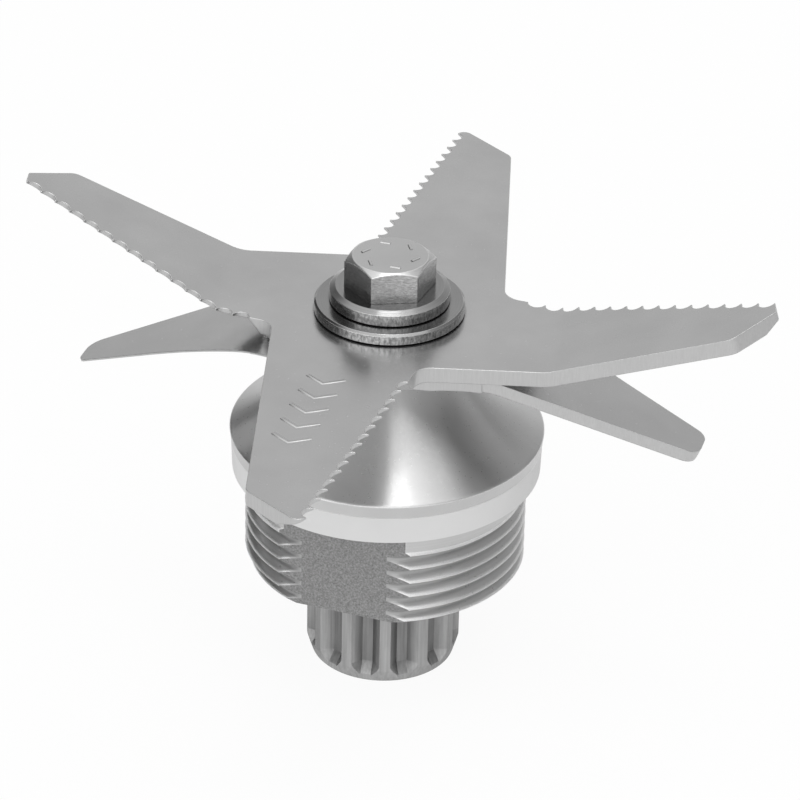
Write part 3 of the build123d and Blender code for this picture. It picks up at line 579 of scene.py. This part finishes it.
@dataclass(frozen=True)
class HousingFinish(TurnedFinish):
    """Turned steel with two flats left as they were cast."""

    flat_face: float = 15.72
    flat_top: float = 27.7
    flat_facing: float = 0.985
    cast_grey: float = 0.285
    cast_spread: float = 0.5
    cast_grain: float = 0.26
    cast_roughness: float = 0.75
    cast_depth: float = 0.09
    cast_shades: Span = (0.6, 1.45)
    groove_radius: float = 16.7
    crest_radius: float = 17.3
    groove_shade_share: float = 0.75
    thread_easing: float = 0.75
    rim_bottom: float = 31.3
    bore_wall: float = 16.0
    thread_top: float = 25.0

    def paint(self, net: Net, shader: bpy.types.Node) -> None:
        """Fill the shader, the cast flats apart from the turned rest.

        Args:
            net: The material's tree.
            shader: Its surface shader.
        """
        place = net.here()
        grey, spread, normal = self.turned(net, shader, place)
        # Painted shade: the thread's grey is darkened towards the grooves' foot.
        grey = net.scaled(grey, self.grooves(net, place))
        flat = self.flats(net, place)
        sand = net.noise(place, self.cast_grain, MANY_LAYERS, self.cast_roughness)
        grey = net.blend(flat, grey, net.shade(sand, self.cast_grey, self.cast_shades))
        spread = net.blend(flat, spread, self.cast_spread)
        normal = net.blend_directions(flat, normal, net.bump(sand, self.cast_depth))
        self.apply(net, shader, grey, spread, normal)

    def flats(self, net: Net, place: Source) -> Socket:
        """Where the two cast flats are.

        Args:
            net: The material's tree.
            place: A place on the housing.

        Returns:
            The socket of a share that is 1 on the flats and 0 elsewhere.
        """
        side = net.math("ABSOLUTE", net.split(net.facing())[1])
        _, y, z = net.split(place)
        far = net.math("GREATER_THAN", net.math("ABSOLUTE", y), self.flat_face * MM)
        low = net.math("LESS_THAN", z, self.flat_top * MM)
        return net.scaled(far, low, net.math("GREATER_THAN", side, self.flat_facing))

    def easing(self, net: Net, place: Source) -> Source:
        """Rounder edges on the thread than elsewhere.

        Args:
            net: The material's tree.
            place: A place on the housing.

        Returns:
            The easing's radius in metres.
        """
        radius, height = net.round_place(place)
        outside = net.math("GREATER_THAN", radius, self.bore_wall * MM)
        thread = net.scaled(outside, net.math("LESS_THAN", height, self.thread_top * MM))
        return net.blend(thread, self.edge_radius * MM, self.thread_easing * MM)

    def glint_share(self, net: Net, place: Source) -> Source:
        """Painted highlight on the thread's crests and the rim, and none in the grooves.

        Args:
            net: The material's tree.
            place: A place on the housing.

        Returns:
            The share of the painted highlight.
        """
        return net.math("GREATER_THAN", net.round_place(place)[0], self.crest_radius * MM)

    def ringed(self, net: Net, place: Source) -> Source:
        """Rings on the neck, and a polished cone above it.

        Args:
            net: The material's tree.
            place: A place on the housing.

        Returns:
            The share of the rings' depth.
        """
        return net.math("LESS_THAN", net.split(place)[2], self.rim_bottom * MM)

    def grooves(self, net: Net, place: Source) -> Socket:
        """Painted shade in the thread's grooves: how much of its grey the thread keeps, from the grooves' foot to the
        crests.

        Args:
            net: The material's tree.
            place: A place on the housing.

        Returns:
            The share's socket, which is 1 off the thread.
        """
        radius, height = net.round_place(place)
        flank = (self.groove_radius * MM, self.crest_radius * MM)
        share = net.ramp(radius, flank, self.groove_shade_share, 1.0)
        bore = net.math("LESS_THAN", radius, self.bore_wall * MM)
        above = net.math("GREATER_THAN", height, self.thread_top * MM)
        return net.math("MAXIMUM", share, net.math("MAXIMUM", bore, above))


@dataclass(frozen=True)
class UprightFinish(Finish):
    """Sintered metal drawn upwards in its die: faint upright streaks."""

    streak: float = 0.35
    streak_stretch: float = 0.05
    streak_depth: float = 0.01
    streak_shades: Span = (0.86, 1.12)
    foot_radius: float = 8.5
    tip_radius: float = 9.6
    foot_share: float = 0.62
    under_span: Span = (-0.8, -0.15)
    under_share: float = 0.8

    def paint(self, net: Net, shader: bpy.types.Node) -> None:
        """Fill the shader with upright streaks over the grain.

        Args:
            net: The material's tree.
            shader: Its surface shader.
        """
        place = net.here()
        grey, spread, normal = self.plain(net, place)
        streaks = net.noise(net.stretched(place, self.streak_stretch), self.streak, SOME_LAYERS)
        tooth = (self.foot_radius * MM, self.tip_radius * MM)
        # Darker towards the teeth's foot.
        foot_darkening = net.ramp(net.round_place(place)[0], tooth, self.foot_share, 1.0)
        # Painted shade: faces that look down get a darker grey.
        under = net.ramp(net.split(net.facing())[2], self.under_span, self.under_share, 1.0)
        grey = net.scaled(grey, net.shade(streaks, 1.0, self.streak_shades), foot_darkening, under)
        self.apply(net, shader, grey, spread, net.bump(streaks, self.streak_depth, normal))


@dataclass(frozen=True)
class SoftFinish(Finish):
    """Moulded rubber or nylon: no metal, a dull skin with a slight orange peel."""

    metal: float = 0.0
    peel: float = 0.7
    peel_depth: float = 0.01

    def paint(self, net: Net, shader: bpy.types.Node) -> None:
        """Fill the shader with the moulded skin.

        Args:
            net: The material's tree.
            shader: Its surface shader.
        """
        place = net.here()
        grey, spread, normal = self.plain(net, place)
        skin = net.noise(place, self.peel, FEW_LAYERS)
        self.apply(net, shader, grey, spread, net.bump(skin, self.peel_depth, normal))


@dataclass(frozen=True)
class BoltFinish(Finish):
    """Forged steel: short scratches on the drawn sides, whose darker grey below the bright top is painted shade."""

    shaded_side_grey: float = 0.46
    side_span: Span = (0.1, 0.4)
    scratch: float = 0.5
    scratch_squeeze: float = 4.0
    scratch_roughness: float = 0.7
    scratch_depth: float = 0.01
    scratch_shades: Span = (0.6, 1.4)

    def paint(self, net: Net, shader: bpy.types.Node) -> None:
        """Fill the shader, the sides apart from the top.

        Args:
            net: The material's tree.
            shader: Its surface shader.
        """
        place = net.here()
        grey, spread, normal = self.plain(net, place)
        squeezed = net.stretched(place, self.scratch_squeeze)
        scratches = net.noise(squeezed, self.scratch, MANY_LAYERS, self.scratch_roughness)
        # Painted shade: the sides get a darker grey than the top, under their scratches.
        side = net.ramp(net.upright(), self.side_span, 1.0, 0.0)
        grey = net.blend(side, grey, net.shade(scratches, self.shaded_side_grey, self.scratch_shades))
        normal = net.bump(net.scaled(scratches, side), self.scratch_depth, normal)
        self.apply(net, shader, grey, spread, normal)


class Slot(Enum):
    """The record's material slots for the scene's own pieces, which the script does not give to any piece."""

    BLADE = "blade_steel"
    BOLT = "bolt_steel"
    SPRING = "spring_steel"


def dress(node: bpy.types.Object, material: bpy.types.Material) -> None:
    """Give a piece from the frame a finish.

    Args:
        node: The piece.
        material: The finish's material.
    """
    node.data.materials.clear()
    node.data.materials.append(material)
    LOG.info("%s: %s", node.name, material.name)


@dataclass
class Assembly:
    """A group of the object's pieces with their finishes, its sizes in millimetres."""

    nodes: dict[str, bpy.types.Object]
    body: str = "body"

    def dress_all(self, names: tuple[str, ...], finish: Finish) -> None:
        """Give several pieces one finish.

        Args:
            names: The pieces' names.
            finish: The finish they share.
        """
        material = finish.material()
        for name in names:
            dress(self.nodes[name], material)

    def build(self) -> None:
        """Build what the group adds to the frame, which here is nothing."""

    def dress(self) -> None:
        """Give the group's pieces their finishes, which each group states."""


class InputKind(Enum):
    """What a modifier's input holds, by its socket type."""

    DECIMAL = "NodeSocketFloat"
    WHOLE = "NodeSocketInt"


@dataclass(frozen=True)
class TreeInput:
    """One named input of a modifier's tree, and its value."""

    name: str
    value: float | int
    kind: InputKind = InputKind.DECIMAL


Grow = Callable[[Net, dict[str, Socket]], Socket]


def grown(name: str, inputs: list[TreeInput], material: bpy.types.Material, grow: Grow) -> bpy.types.Mesh:
    """Run a geometry node tree once and keep its result as a plain mesh.

    Args:
        name: The piece's name.
        inputs: The tree's named inputs with their values.
        material: What the result is made of.
        grow: A function of the net and the inputs' sockets that returns the geometry's socket.

    Returns:
        The plain mesh.
    """
    tree = bpy.data.node_groups.new(f"{name}_tree", "GeometryNodeTree")
    sockets = [
        tree.interface.new_socket(item.name, in_out="INPUT", socket_type=item.kind.value) for item in inputs
    ]
    tree.interface.new_socket("Geometry", in_out="OUTPUT", socket_type="NodeSocketGeometry")
    net = Net(tree)
    entry = net.add("NodeGroupInput")
    given = {item.name: entry.outputs[item.name] for item in inputs}
    real = net.add("GeometryNodeRealizeInstances", {0: grow(net, given)})
    painted = net.add("GeometryNodeSetMaterial", {0: real.outputs[0]})
    painted.inputs["Material"].default_value = material
    leave = net.add("NodeGroupOutput")
    tree.links.new(painted.outputs[0], leave.inputs[0])

    holder = bpy.data.objects.new(f"{name}_seed", bpy.data.meshes.new(f"{name}_seed"))
    bpy.context.scene.collection.objects.link(holder)
    modifier = holder.modifiers.new(name, "NODES")
    modifier.node_group = tree
    for socket, item in zip(sockets, inputs, strict=True):
        modifier[socket.identifier] = item.value
    holder.update_tag()
    bpy.context.view_layer.update()
    seen = bpy.context.evaluated_depsgraph_get()
    mesh = bpy.data.meshes.new_from_object(holder.evaluated_get(seen))
    holder.modifiers.remove(modifier)
    bpy.data.objects.remove(holder)
    bpy.data.node_groups.remove(tree)
    mesh.name = name
    return mesh


def piece(name: str, mesh: bpy.types.Mesh, place: Matrix, body: str) -> bpy.types.Object:
    """Put a finished mesh on the object.

    Args:
        name: The piece's name.
        mesh: Its mesh.
        place: Where it goes, which is moved into the mesh.
        body: The body that it rides on.

    Returns:
        The new piece.
    """
    mesh.transform(place)
    made = bpy.data.objects.new(name, mesh)
    bpy.context.scene.collection.objects.link(made)
    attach(made, body)
    LOG.info("%s: %d faces", name, len(mesh.polygons))
    return made


@dataclass
class Neck(Assembly):
    """The housing, its gasket and the seal with its coiled spring."""

    coil_turns: int = 210
    coil_steps: int = 10
    coil_wire: float = 0.09
    coil_sides: int = 5
    coil_outer: float = 0.45
    finish: HousingFinish = HousingFinish(
        "housing_steel",
        grey=0.56,
        gloss_spread=0.3,
        grain_depth=0.0006,
        ring_depth=0.008,
        across=0.7,
        edge_radius=0.3,
        glint_grey=0.95,
    )

    def build(self) -> None:
        """Wind the seal's spring in place of its plain ring."""
        low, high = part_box("garter_spring")
        circle = (high.x - low.x) / 2 / MM - self.coil_outer
        wire = self.coil_wire
        inputs = [
            TreeInput("Turns", self.coil_turns, InputKind.WHOLE),
            TreeInput("Steps", self.coil_steps, InputKind.WHOLE),
            TreeInput("Circle", circle * MM),
            TreeInput("Coil", (self.coil_outer - wire) * MM),
            TreeInput("Wire", wire * MM),
            TreeInput("Sides", self.coil_sides, InputKind.WHOLE),
        ]
        material = Finish("coil_steel", grey=0.45, gloss_spread=0.28).material()
        mesh = grown("seal_spring_coil", inputs, material, self.coil)
        middle = Matrix.Translation((0, 0, (low.z + high.z) / 2))
        spring = piece("seal_spring_coil", mesh, middle, self.body)
        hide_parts("garter_spring")

    @staticmethod
    def coil(net: Net, given: dict[str, Socket]) -> Socket:
        """Wind a closed coil round a circle.

        Args:
            net: The tree that is filled.
            given: Its named inputs.

        Returns:
            The coil's mesh.
        """
        count = net.scaled(given["Turns"], given["Steps"])
        circle = net.add("GeometryNodeCurvePrimitiveCircle", {"Resolution": count})
        index = net.add("GeometryNodeInputIndex").outputs[0]
        share = net.math("DIVIDE", net.scaled(index, 2 * math.pi), count)
        wound = net.scaled(share, given["Turns"])
        reach = net.math("ADD", given["Circle"], net.scaled(given["Coil"], net.math("COSINE", wound)))
        spot = net.join(
            net.scaled(reach, net.math("COSINE", share)),
            net.scaled(reach, net.math("SINE", share)),
            net.scaled(given["Coil"], net.math("SINE", wound)),
        )
        wound_curve = net.add("GeometryNodeSetPosition", {0: circle.outputs[0], "Position": spot})
        profile = net.add("GeometryNodeCurvePrimitiveCircle", {"Resolution": given["Sides"], "Radius": given["Wire"]})
        return net.add("GeometryNodeCurveToMesh", {0: wound_curve.outputs[0], 1: profile.outputs[0]}).outputs[0]

    def dress(self) -> None:
        """Give the housing, the gasket and the seal their finishes."""
        self.dress_all(("housing",), self.finish)
        self.dress_all(("flange_gasket",), SoftFinish("pale_rubber", grey=0.72, gloss_spread=0.5, mottle=0.02))
        self.dress_all(("seal_lip",), SoftFinish("black_rubber", grey=0.03, gloss_spread=0.45, mottle=0.1))
        self.dress_all(("seal_case",), TurnedFinish("seal_case_steel", grey=0.5, gloss_spread=0.3))
        spring = Finish("spring_steel", grey=0.28, gloss_spread=0.36, mottle=0.1)
        self.dress_all(("garter_spring", "bore_circlip"), spring)


@dataclass
class Bearings(Assembly):
    """The two ball bearings and the sleeves between them."""

    def dress(self) -> None:
        """Give rings, balls, shields, cages and sleeves their finishes."""
        ground = TurnedFinish("ground_steel", grey=0.66, gloss_spread=0.16, ring=0.08, ring_depth=0.001)
        self.dress_both(("inner_race", "outer_race"), ground)
        balls = Finish("polished_balls", grey=0.7, gloss_spread=0.06, grain_depth=0.0, mottle=0.02)
        self.dress_both(("balls",), balls)
        self.dress_both(("shields",), TurnedFinish("pressed_shields", grey=0.55, gloss_spread=0.3, ring=0.2))
        self.dress_both(("cage",), SoftFinish("moulded_nylon", grey=0.62, gloss_spread=0.4, mottle=0.04))
        sleeve = TurnedFinish("sleeve_steel", grey=0.58, gloss_spread=0.28)
        self.dress_all(("outer_spacer", "inner_spacer"), sleeve)

    def dress_both(self, parts: tuple[str, ...], finish: Finish) -> None:
        """Give the same parts of the lower and the upper bearing one finish.

        Args:
            parts: The parts' names within a bearing.
            finish: The finish they share.
        """
        self.dress_all(tuple(f"{place}_bearing_{part}" for place in ("lower", "upper") for part in parts), finish)


@dataclass
class Drive(Assembly):
    """The shaft, the gear under the neck and the screw that holds it."""

    def dress(self) -> None:
        """Give the shaft, the gear and its fasteners their finishes."""
        self.dress_all(("drive_shaft",), TurnedFinish("shaft_steel", grey=0.6, gloss_spread=0.24))
        gear = UprightFinish("sintered_steel", grey=0.38, gloss_spread=0.44, edge_radius=0.15)
        self.dress_all(("drive_gear",), gear)
        self.dress_all(("gear_washer",), TurnedFinish("gear_washer_steel", grey=0.56, gloss_spread=0.3))
        screw = Finish("blackened_steel", grey=0.06, gloss_spread=0.42, mottle=0.2, edge_radius=0.1)
        self.dress_all(("gear_screw",), screw)


@dataclass
class Blades(Assembly):
    """The two crossed blades, and the row of stamped chevrons on the front arm."""

    marks: int = 5
    mark_spacing: float = 3.55
    mark_width: float = 4.7
    mark_depth: float = 1.5
    stroke: float = 0.26
    stroke_rise: float = 0.12
    stroke_sides: int = 8
    first_mark: tuple[float, float] = (-1.45, -20.2)
    row_direction: float = -86.5
    finish: BladeFinish = BladeFinish(
        "polished_blade_steel",
        grey=0.56,
        gloss_spread=0.25,
        grain_depth=0.0003,
        edge_radius=0.16,
        glint_grey=0.9,
        contact_shade_reach=0.7,
    )

    def build(self) -> None:
        """Stamp the row of chevrons on the front arm."""
        inputs = [
            TreeInput("Count", self.marks, InputKind.WHOLE),
            TreeInput("Spacing", self.mark_spacing * MM),
            TreeInput("Width", self.mark_width * MM),
            TreeInput("Depth", self.mark_depth * MM),
            TreeInput("Stroke", self.stroke * MM),
            TreeInput("Sides", self.stroke_sides, InputKind.WHOLE),
        ]
        material = Finish("stamped_steel", grey=0.5, gloss_spread=0.3).material()
        mesh = grown("stamped_chevrons", inputs, material, self.chevrons)
        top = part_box("lower_washer")[0].z
        flatten = Matrix.Diagonal((1, 1, self.stroke_rise / self.stroke, 1))
        turn = Matrix.Rotation(math.radians(self.row_direction), 4, "Z")
        x, y = self.first_mark
        place = Matrix.Translation((x * MM, y * MM, top)) @ turn @ flatten
        piece("stamped_chevrons", mesh, place, self.body)

    @staticmethod
    def chevrons(net: Net, given: dict[str, Socket]) -> Socket:
        """A row of chevrons made of round strokes.

        Args:
            net: The tree that is filled.
            given: Its named inputs.

        Returns:
            The instances of the chevron.
        """
        half = net.math("DIVIDE", given["Width"], 2.0)
        start = net.join(0.0, net.scaled(half, -1.0), 0.0)
        ends_and_middle = {"Count": 3, "Start Location": start, "Offset": net.join(0.0, half, 0.0)}
        line = net.add("GeometryNodeMeshLine", ends_and_middle)
        across = net.split(net.add("GeometryNodeInputPosition").outputs[0])[1]
        share = net.math("DIVIDE", net.math("ABSOLUTE", across), half)
        back = net.scaled(given["Depth"], share, -1.0)
        bent = net.add("GeometryNodeSetPosition", {0: line.outputs[0], "Offset": net.join(back, 0.0, 0.0)})
        path = net.add("GeometryNodeMeshToCurve", {0: bent.outputs[0]})
        chevron = net.rod(path.outputs[0], given["Stroke"], given["Sides"])
        step = net.join(given["Spacing"], 0.0, 0.0)
        row = net.add("GeometryNodeMeshLine", {"Count": given["Count"], "Offset": step})
        return net.add("GeometryNodeInstanceOnPoints", {0: row.outputs[0], "Instance": chevron}).outputs[0]

    def dress(self) -> None:
        """Give both blades their polish."""
        self.dress_all(("upper_blade", "lower_blade"), self.finish)


@dataclass
class Clamp(Assembly):
    """The bolt and the two washers on the blades, and the raised dashes on the head."""

    dashes: int = 6
    dash_circle: float = 3.25
    dash_length: float = 1.25
    dash_width: float = 0.22
    dash_flatness: float = 0.5
    dash_sides: int = 8
    dash_lean: float = 62.0
    bolt: BoltFinish = BoltFinish(
        "bolt_steel",
        grey=0.6,
        gloss_spread=0.22,
        grain=0.5,
        grain_depth=0.004,
        edge_radius=0.28,
        glint_grey=0.98,
        contact_shade_reach=0.5,
    )
    washer: TurnedFinish = TurnedFinish(
        "turned_washer_steel",
        grey=0.46,
        gloss_spread=0.18,
        across=0.2,
        speckle=0.45,
        top_shade_share=0.72,
        edge_radius=0.1,
        glint_grey=0.9,
        contact_shade_reach=0.6,
    )

    def build(self) -> None:
        """Raise a ring of plain dashes on the head."""
        inputs = [
            TreeInput("Count", self.dashes, InputKind.WHOLE),
            TreeInput("Circle", self.dash_circle * MM),
            TreeInput("Length", self.dash_length * MM),
            TreeInput("Width", self.dash_width * MM),
            TreeInput("Lean", math.radians(self.dash_lean)),
            TreeInput("Sides", self.dash_sides, InputKind.WHOLE),
        ]
        material = Finish("head_dash_steel", grey=0.6, gloss_spread=0.3).material()
        mesh = grown("head_dashes", inputs, material, self.ring_of_dashes)
        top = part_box("blade_bolt")[1].z
        place = Matrix.Translation((0, 0, top)) @ Matrix.Diagonal((1, 1, self.dash_flatness, 1))
        piece("head_dashes", mesh, place, self.body)

    @staticmethod
    def ring_of_dashes(net: Net, given: dict[str, Socket]) -> Socket:
        """Short round strokes at equal steps round a circle.

        Args:
            net: The tree that is filled.
            given: Its named inputs.

        Returns:
            The instances of the dash.
        """
        half = net.math("DIVIDE", given["Length"], 2.0)
        ends = {"Start": net.join(net.scaled(half, -1.0), 0.0, 0.0), "End": net.join(half, 0.0, 0.0)}
        stroke = net.add("GeometryNodeCurvePrimitiveLine", ends)
        dash = net.rod(stroke.outputs[0], given["Width"], given["Sides"])
        ring = net.add("GeometryNodeMeshCircle", {"Vertices": given["Count"], "Radius": given["Circle"]})
        index = net.add("GeometryNodeInputIndex").outputs[0]
        turn = net.math("DIVIDE", net.scaled(index, 2 * math.pi), given["Count"])
        lean = net.math("ADD", turn, given["Lean"])
        placed = net.add(
            "GeometryNodeInstanceOnPoints",
            {0: ring.outputs[0], "Instance": dash, "Rotation": net.join(0.0, 0.0, lean)},
        )
        return placed.outputs[0]

    def dress(self) -> None:
        """Give the bolt and the washers their finishes."""
        self.dress_all(("blade_bolt",), self.bolt)
        self.dress_all(("lower_washer", "upper_washer"), self.washer)


@dataclass(frozen=True)
class Softbox:
    """A square area lamp that looks at the object, in metres, degrees and watts."""

    name: str
    azimuth: float
    elevation: float
    distance: float
    side: float
    power: float

    def place(self, target: Vector) -> None:
        """Hang the lamp.

        Args:
            target: The point that it looks at.
        """
        data = bpy.data.lights.new(self.name, "AREA")
        data.energy, data.size = self.power, self.side
        lamp = bpy.data.objects.new(self.name, data)
        bpy.context.scene.collection.objects.link(lamp)
        a, e = math.radians(self.azimuth), math.radians(self.elevation)
        away = Vector((math.sin(a) * math.cos(e), -math.cos(a) * math.cos(e), math.sin(e)))
        lamp.location = target + away * self.distance
        lamp.rotation_euler = away.to_track_quat("Z", "Y").to_euler()


@dataclass
class Studio:
    """The floor, the surroundings and the lamps.

    The floor's side is in metres and its near radii are in millimetres. The
    spans are shares of a direction along x, y or z, from -1 to 1.
    """

    floor_side: float = 6.0
    floor_grey: float = 0.95
    floor_glow: float = 0.93

    # The floor in a mirror, by its distance and direction from the object
    floor_gleam: float = 0.45
    near_gleam: float = 0.6
    near_radius: float = 64.0
    near_edge: float = 82.0
    near_front: Span = (-0.9, -0.1)
    left_floor: Span = (-0.95, -0.5)
    left_floor_share: float = 0.25

    # The room, by the direction that it is seen in
    room: float = 0.68
    left_room: Span = (-0.74, -0.57)
    left_room_share: float = 0.13
    right_room: Span = (0.1, 0.55)
    right_room_share: float = 0.5
    above_room: Span = (0.6, 0.97)
    above_extra: float = 0.45
    front_room: Span = (-0.75, -0.3)
    front_extra: float = 0.7

    lamps: tuple[Softbox, ...] = (
        Softbox("key_softbox", azimuth=59.0, elevation=68.0, distance=0.8, side=0.65, power=0.72),
        Softbox("ceiling_softbox", azimuth=10.0, elevation=86.0, distance=0.9, side=0.3, power=0.7),
    )

    def build(self, target: Vector) -> None:
        """Set up the floor, the surroundings and the lamps.

        Args:
            target: The point that the lamps look at.
        """
        self.floor()
        self.surroundings()
        for lamp in self.lamps:
            lamp.place(target)

    def floor(self) -> None:
        """Lay the plain pale floor under the object."""
        half = self.floor_side / 2
        mesh = bpy.data.meshes.new("studio_floor")
        corners = [(-half, -half, 0), (half, -half, 0), (half, half, 0), (-half, half, 0)]
        mesh.from_pydata(corners, [], [(0, 1, 2, 3)])
        made = bpy.data.objects.new("studio_floor", mesh)
        bpy.context.scene.collection.objects.link(made)
        material = bpy.data.materials.new("pale_floor")
        material.use_nodes = True
        material.node_tree.nodes.clear()
        net = Net(material.node_tree)
        grey = self.floor_grey
        matt = net.add("ShaderNodeBsdfDiffuse", {"Color": (grey, grey, grey, 1)})
        glow = net.add("ShaderNodeEmission", {"Color": (1, 1, 1, 1), "Strength": 1.0})
        path = net.add("ShaderNodeLightPath").outputs
        mirrored = net.math("MAXIMUM", path["Is Glossy Ray"], path["Is Transmission Ray"])
        share = net.math(
            "MAXIMUM",
            net.scaled(path["Is Camera Ray"], self.floor_glow),
            net.scaled(mirrored, self.gleam(net)),
        )
        mixed = net.add("ShaderNodeMixShader", {0: share, 1: matt.outputs[0], 2: glow.outputs[0]})
        net.add("ShaderNodeOutputMaterial", {0: mixed.outputs[0]}).is_active_output = True
        mesh.materials.append(material)

    def gleam(self, net: Net) -> Socket:
        """How bright the floor is in a mirror: most in front of the object, least at its left.

        Args:
            net: The floor material's tree.

        Returns:
            The brightness's socket.
        """
        x, y, _ = net.split(net.here())
        reach = net.math("SQRT", net.math("ADD", net.scaled(x, x), net.scaled(y, y)))
        close = (self.near_radius * MM, self.near_edge * MM)
        near = net.ramp(reach, close, self.near_gleam, 0.0)
        front = net.ramp(net.math("DIVIDE", y, reach), self.near_front, 1.0, 0.0)
        left = net.ramp(net.math("DIVIDE", x, reach), self.left_floor, self.left_floor_share, 1.0)
        return net.scaled(left, net.math("ADD", self.floor_gleam, net.scaled(near, front)))

    def surroundings(self) -> None:
        """Fill the room with soft light, bright overhead and in front, dim at both sides."""
        world = bpy.data.worlds.new("studio_room")
        bpy.context.scene.world = world
        world.use_nodes = True
        world.node_tree.nodes.clear()
        net = Net(world.node_tree)
        x, y, z = net.split(net.add("ShaderNodeTexCoord").outputs["Generated"])
        left = net.ramp(x, self.left_room, self.left_room_share, 1.0)
        right = net.ramp(x, self.right_room, 1.0, self.right_room_share)
        above = net.ramp(z, self.above_room, 0.0, self.above_extra)
        front = net.ramp(y, self.front_room, self.front_extra, 0.0)
        strength = net.math("ADD", net.scaled(left, right, self.room), net.math("ADD", above, front))
        seen = net.add("ShaderNodeLightPath").outputs["Is Camera Ray"]
        white_if_seen = {"Color": (1, 1, 1, 1), "Strength": net.blend(seen, strength, 1.0)}
        light = net.add("ShaderNodeBackground", white_if_seen)
        net.add("ShaderNodeOutputWorld", {0: light.outputs[0]})


@dataclass
class Camera:
    """The photograph's viewpoint, found by fitting the object's known points.

    Angles are in degrees, the distance is in metres and the target's depth below
    the bolt's head is in millimetres.
    """

    azimuth: float = 18.5
    elevation: float = 29.223
    roll: float = 1.194
    distance: float = 0.4423
    focal_pixels: float = 3545.892
    target_below_head: float = 10.07
    target_pixel: tuple[float, float] = (389.085, 326.369)

    def target(self) -> Vector:
        """The point of the shaft's axis that the camera's place is given from."""
        return Vector((0, 0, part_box("blade_bolt")[1].z - self.target_below_head * MM))

    def place(self) -> None:
        """Make the camera and turn it so that the target lands on its pixel."""
        a, e, r = (math.radians(v) for v in (self.azimuth, self.elevation, self.roll))
        back = Vector((math.sin(a) * math.cos(e), -math.cos(a) * math.cos(e), math.sin(e)))
        level = Vector((math.cos(a), math.sin(a), 0))
        rise = back.cross(level)
        right = level * math.cos(r) + rise * math.sin(r)
        up = rise * math.cos(r) - level * math.sin(r)
        middle = PICTURE_SIDE / 2
        x, y = self.target_pixel
        toward = Vector(((x - middle) / self.focal_pixels, (middle - y) / self.focal_pixels, -1)).normalized()
        shift = Vector((0, 0, -1)).rotation_difference(toward).to_matrix()
        turn = (shift @ Matrix((right, up, back))).transposed()
        data = bpy.data.cameras.new("photo_camera")
        data.sensor_width = SENSOR_WIDTH
        data.lens = self.focal_pixels * SENSOR_WIDTH / PICTURE_SIDE
        data.clip_start, data.clip_end = CLIP_NEAR, CLIP_FAR
        camera = bpy.data.objects.new("photo_camera", data)
        bpy.context.scene.collection.objects.link(camera)
        camera.matrix_world = Matrix.Translation(self.target() + back * self.distance) @ turn.to_4x4()
        bpy.context.scene.camera = camera


def main() -> None:
    """Load the frame, dress it, and set up the picture."""
    logging.basicConfig(level=logging.INFO, format="%(message)s")
    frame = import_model()
    bpy.context.scene.view_settings.view_transform = "Standard"
    camera = Camera()
    camera.place()
    Studio().build(camera.target())
    nodes = frame["nodes"]
    for assembly in (Neck(nodes), Bearings(nodes), Drive(nodes), Blades(nodes, "rotor"), Clamp(nodes, "rotor")):
        assembly.build()
        assembly.dress()
        LOG.info("%s done", type(assembly).__name__)


if __name__ == "__main__":
    main()
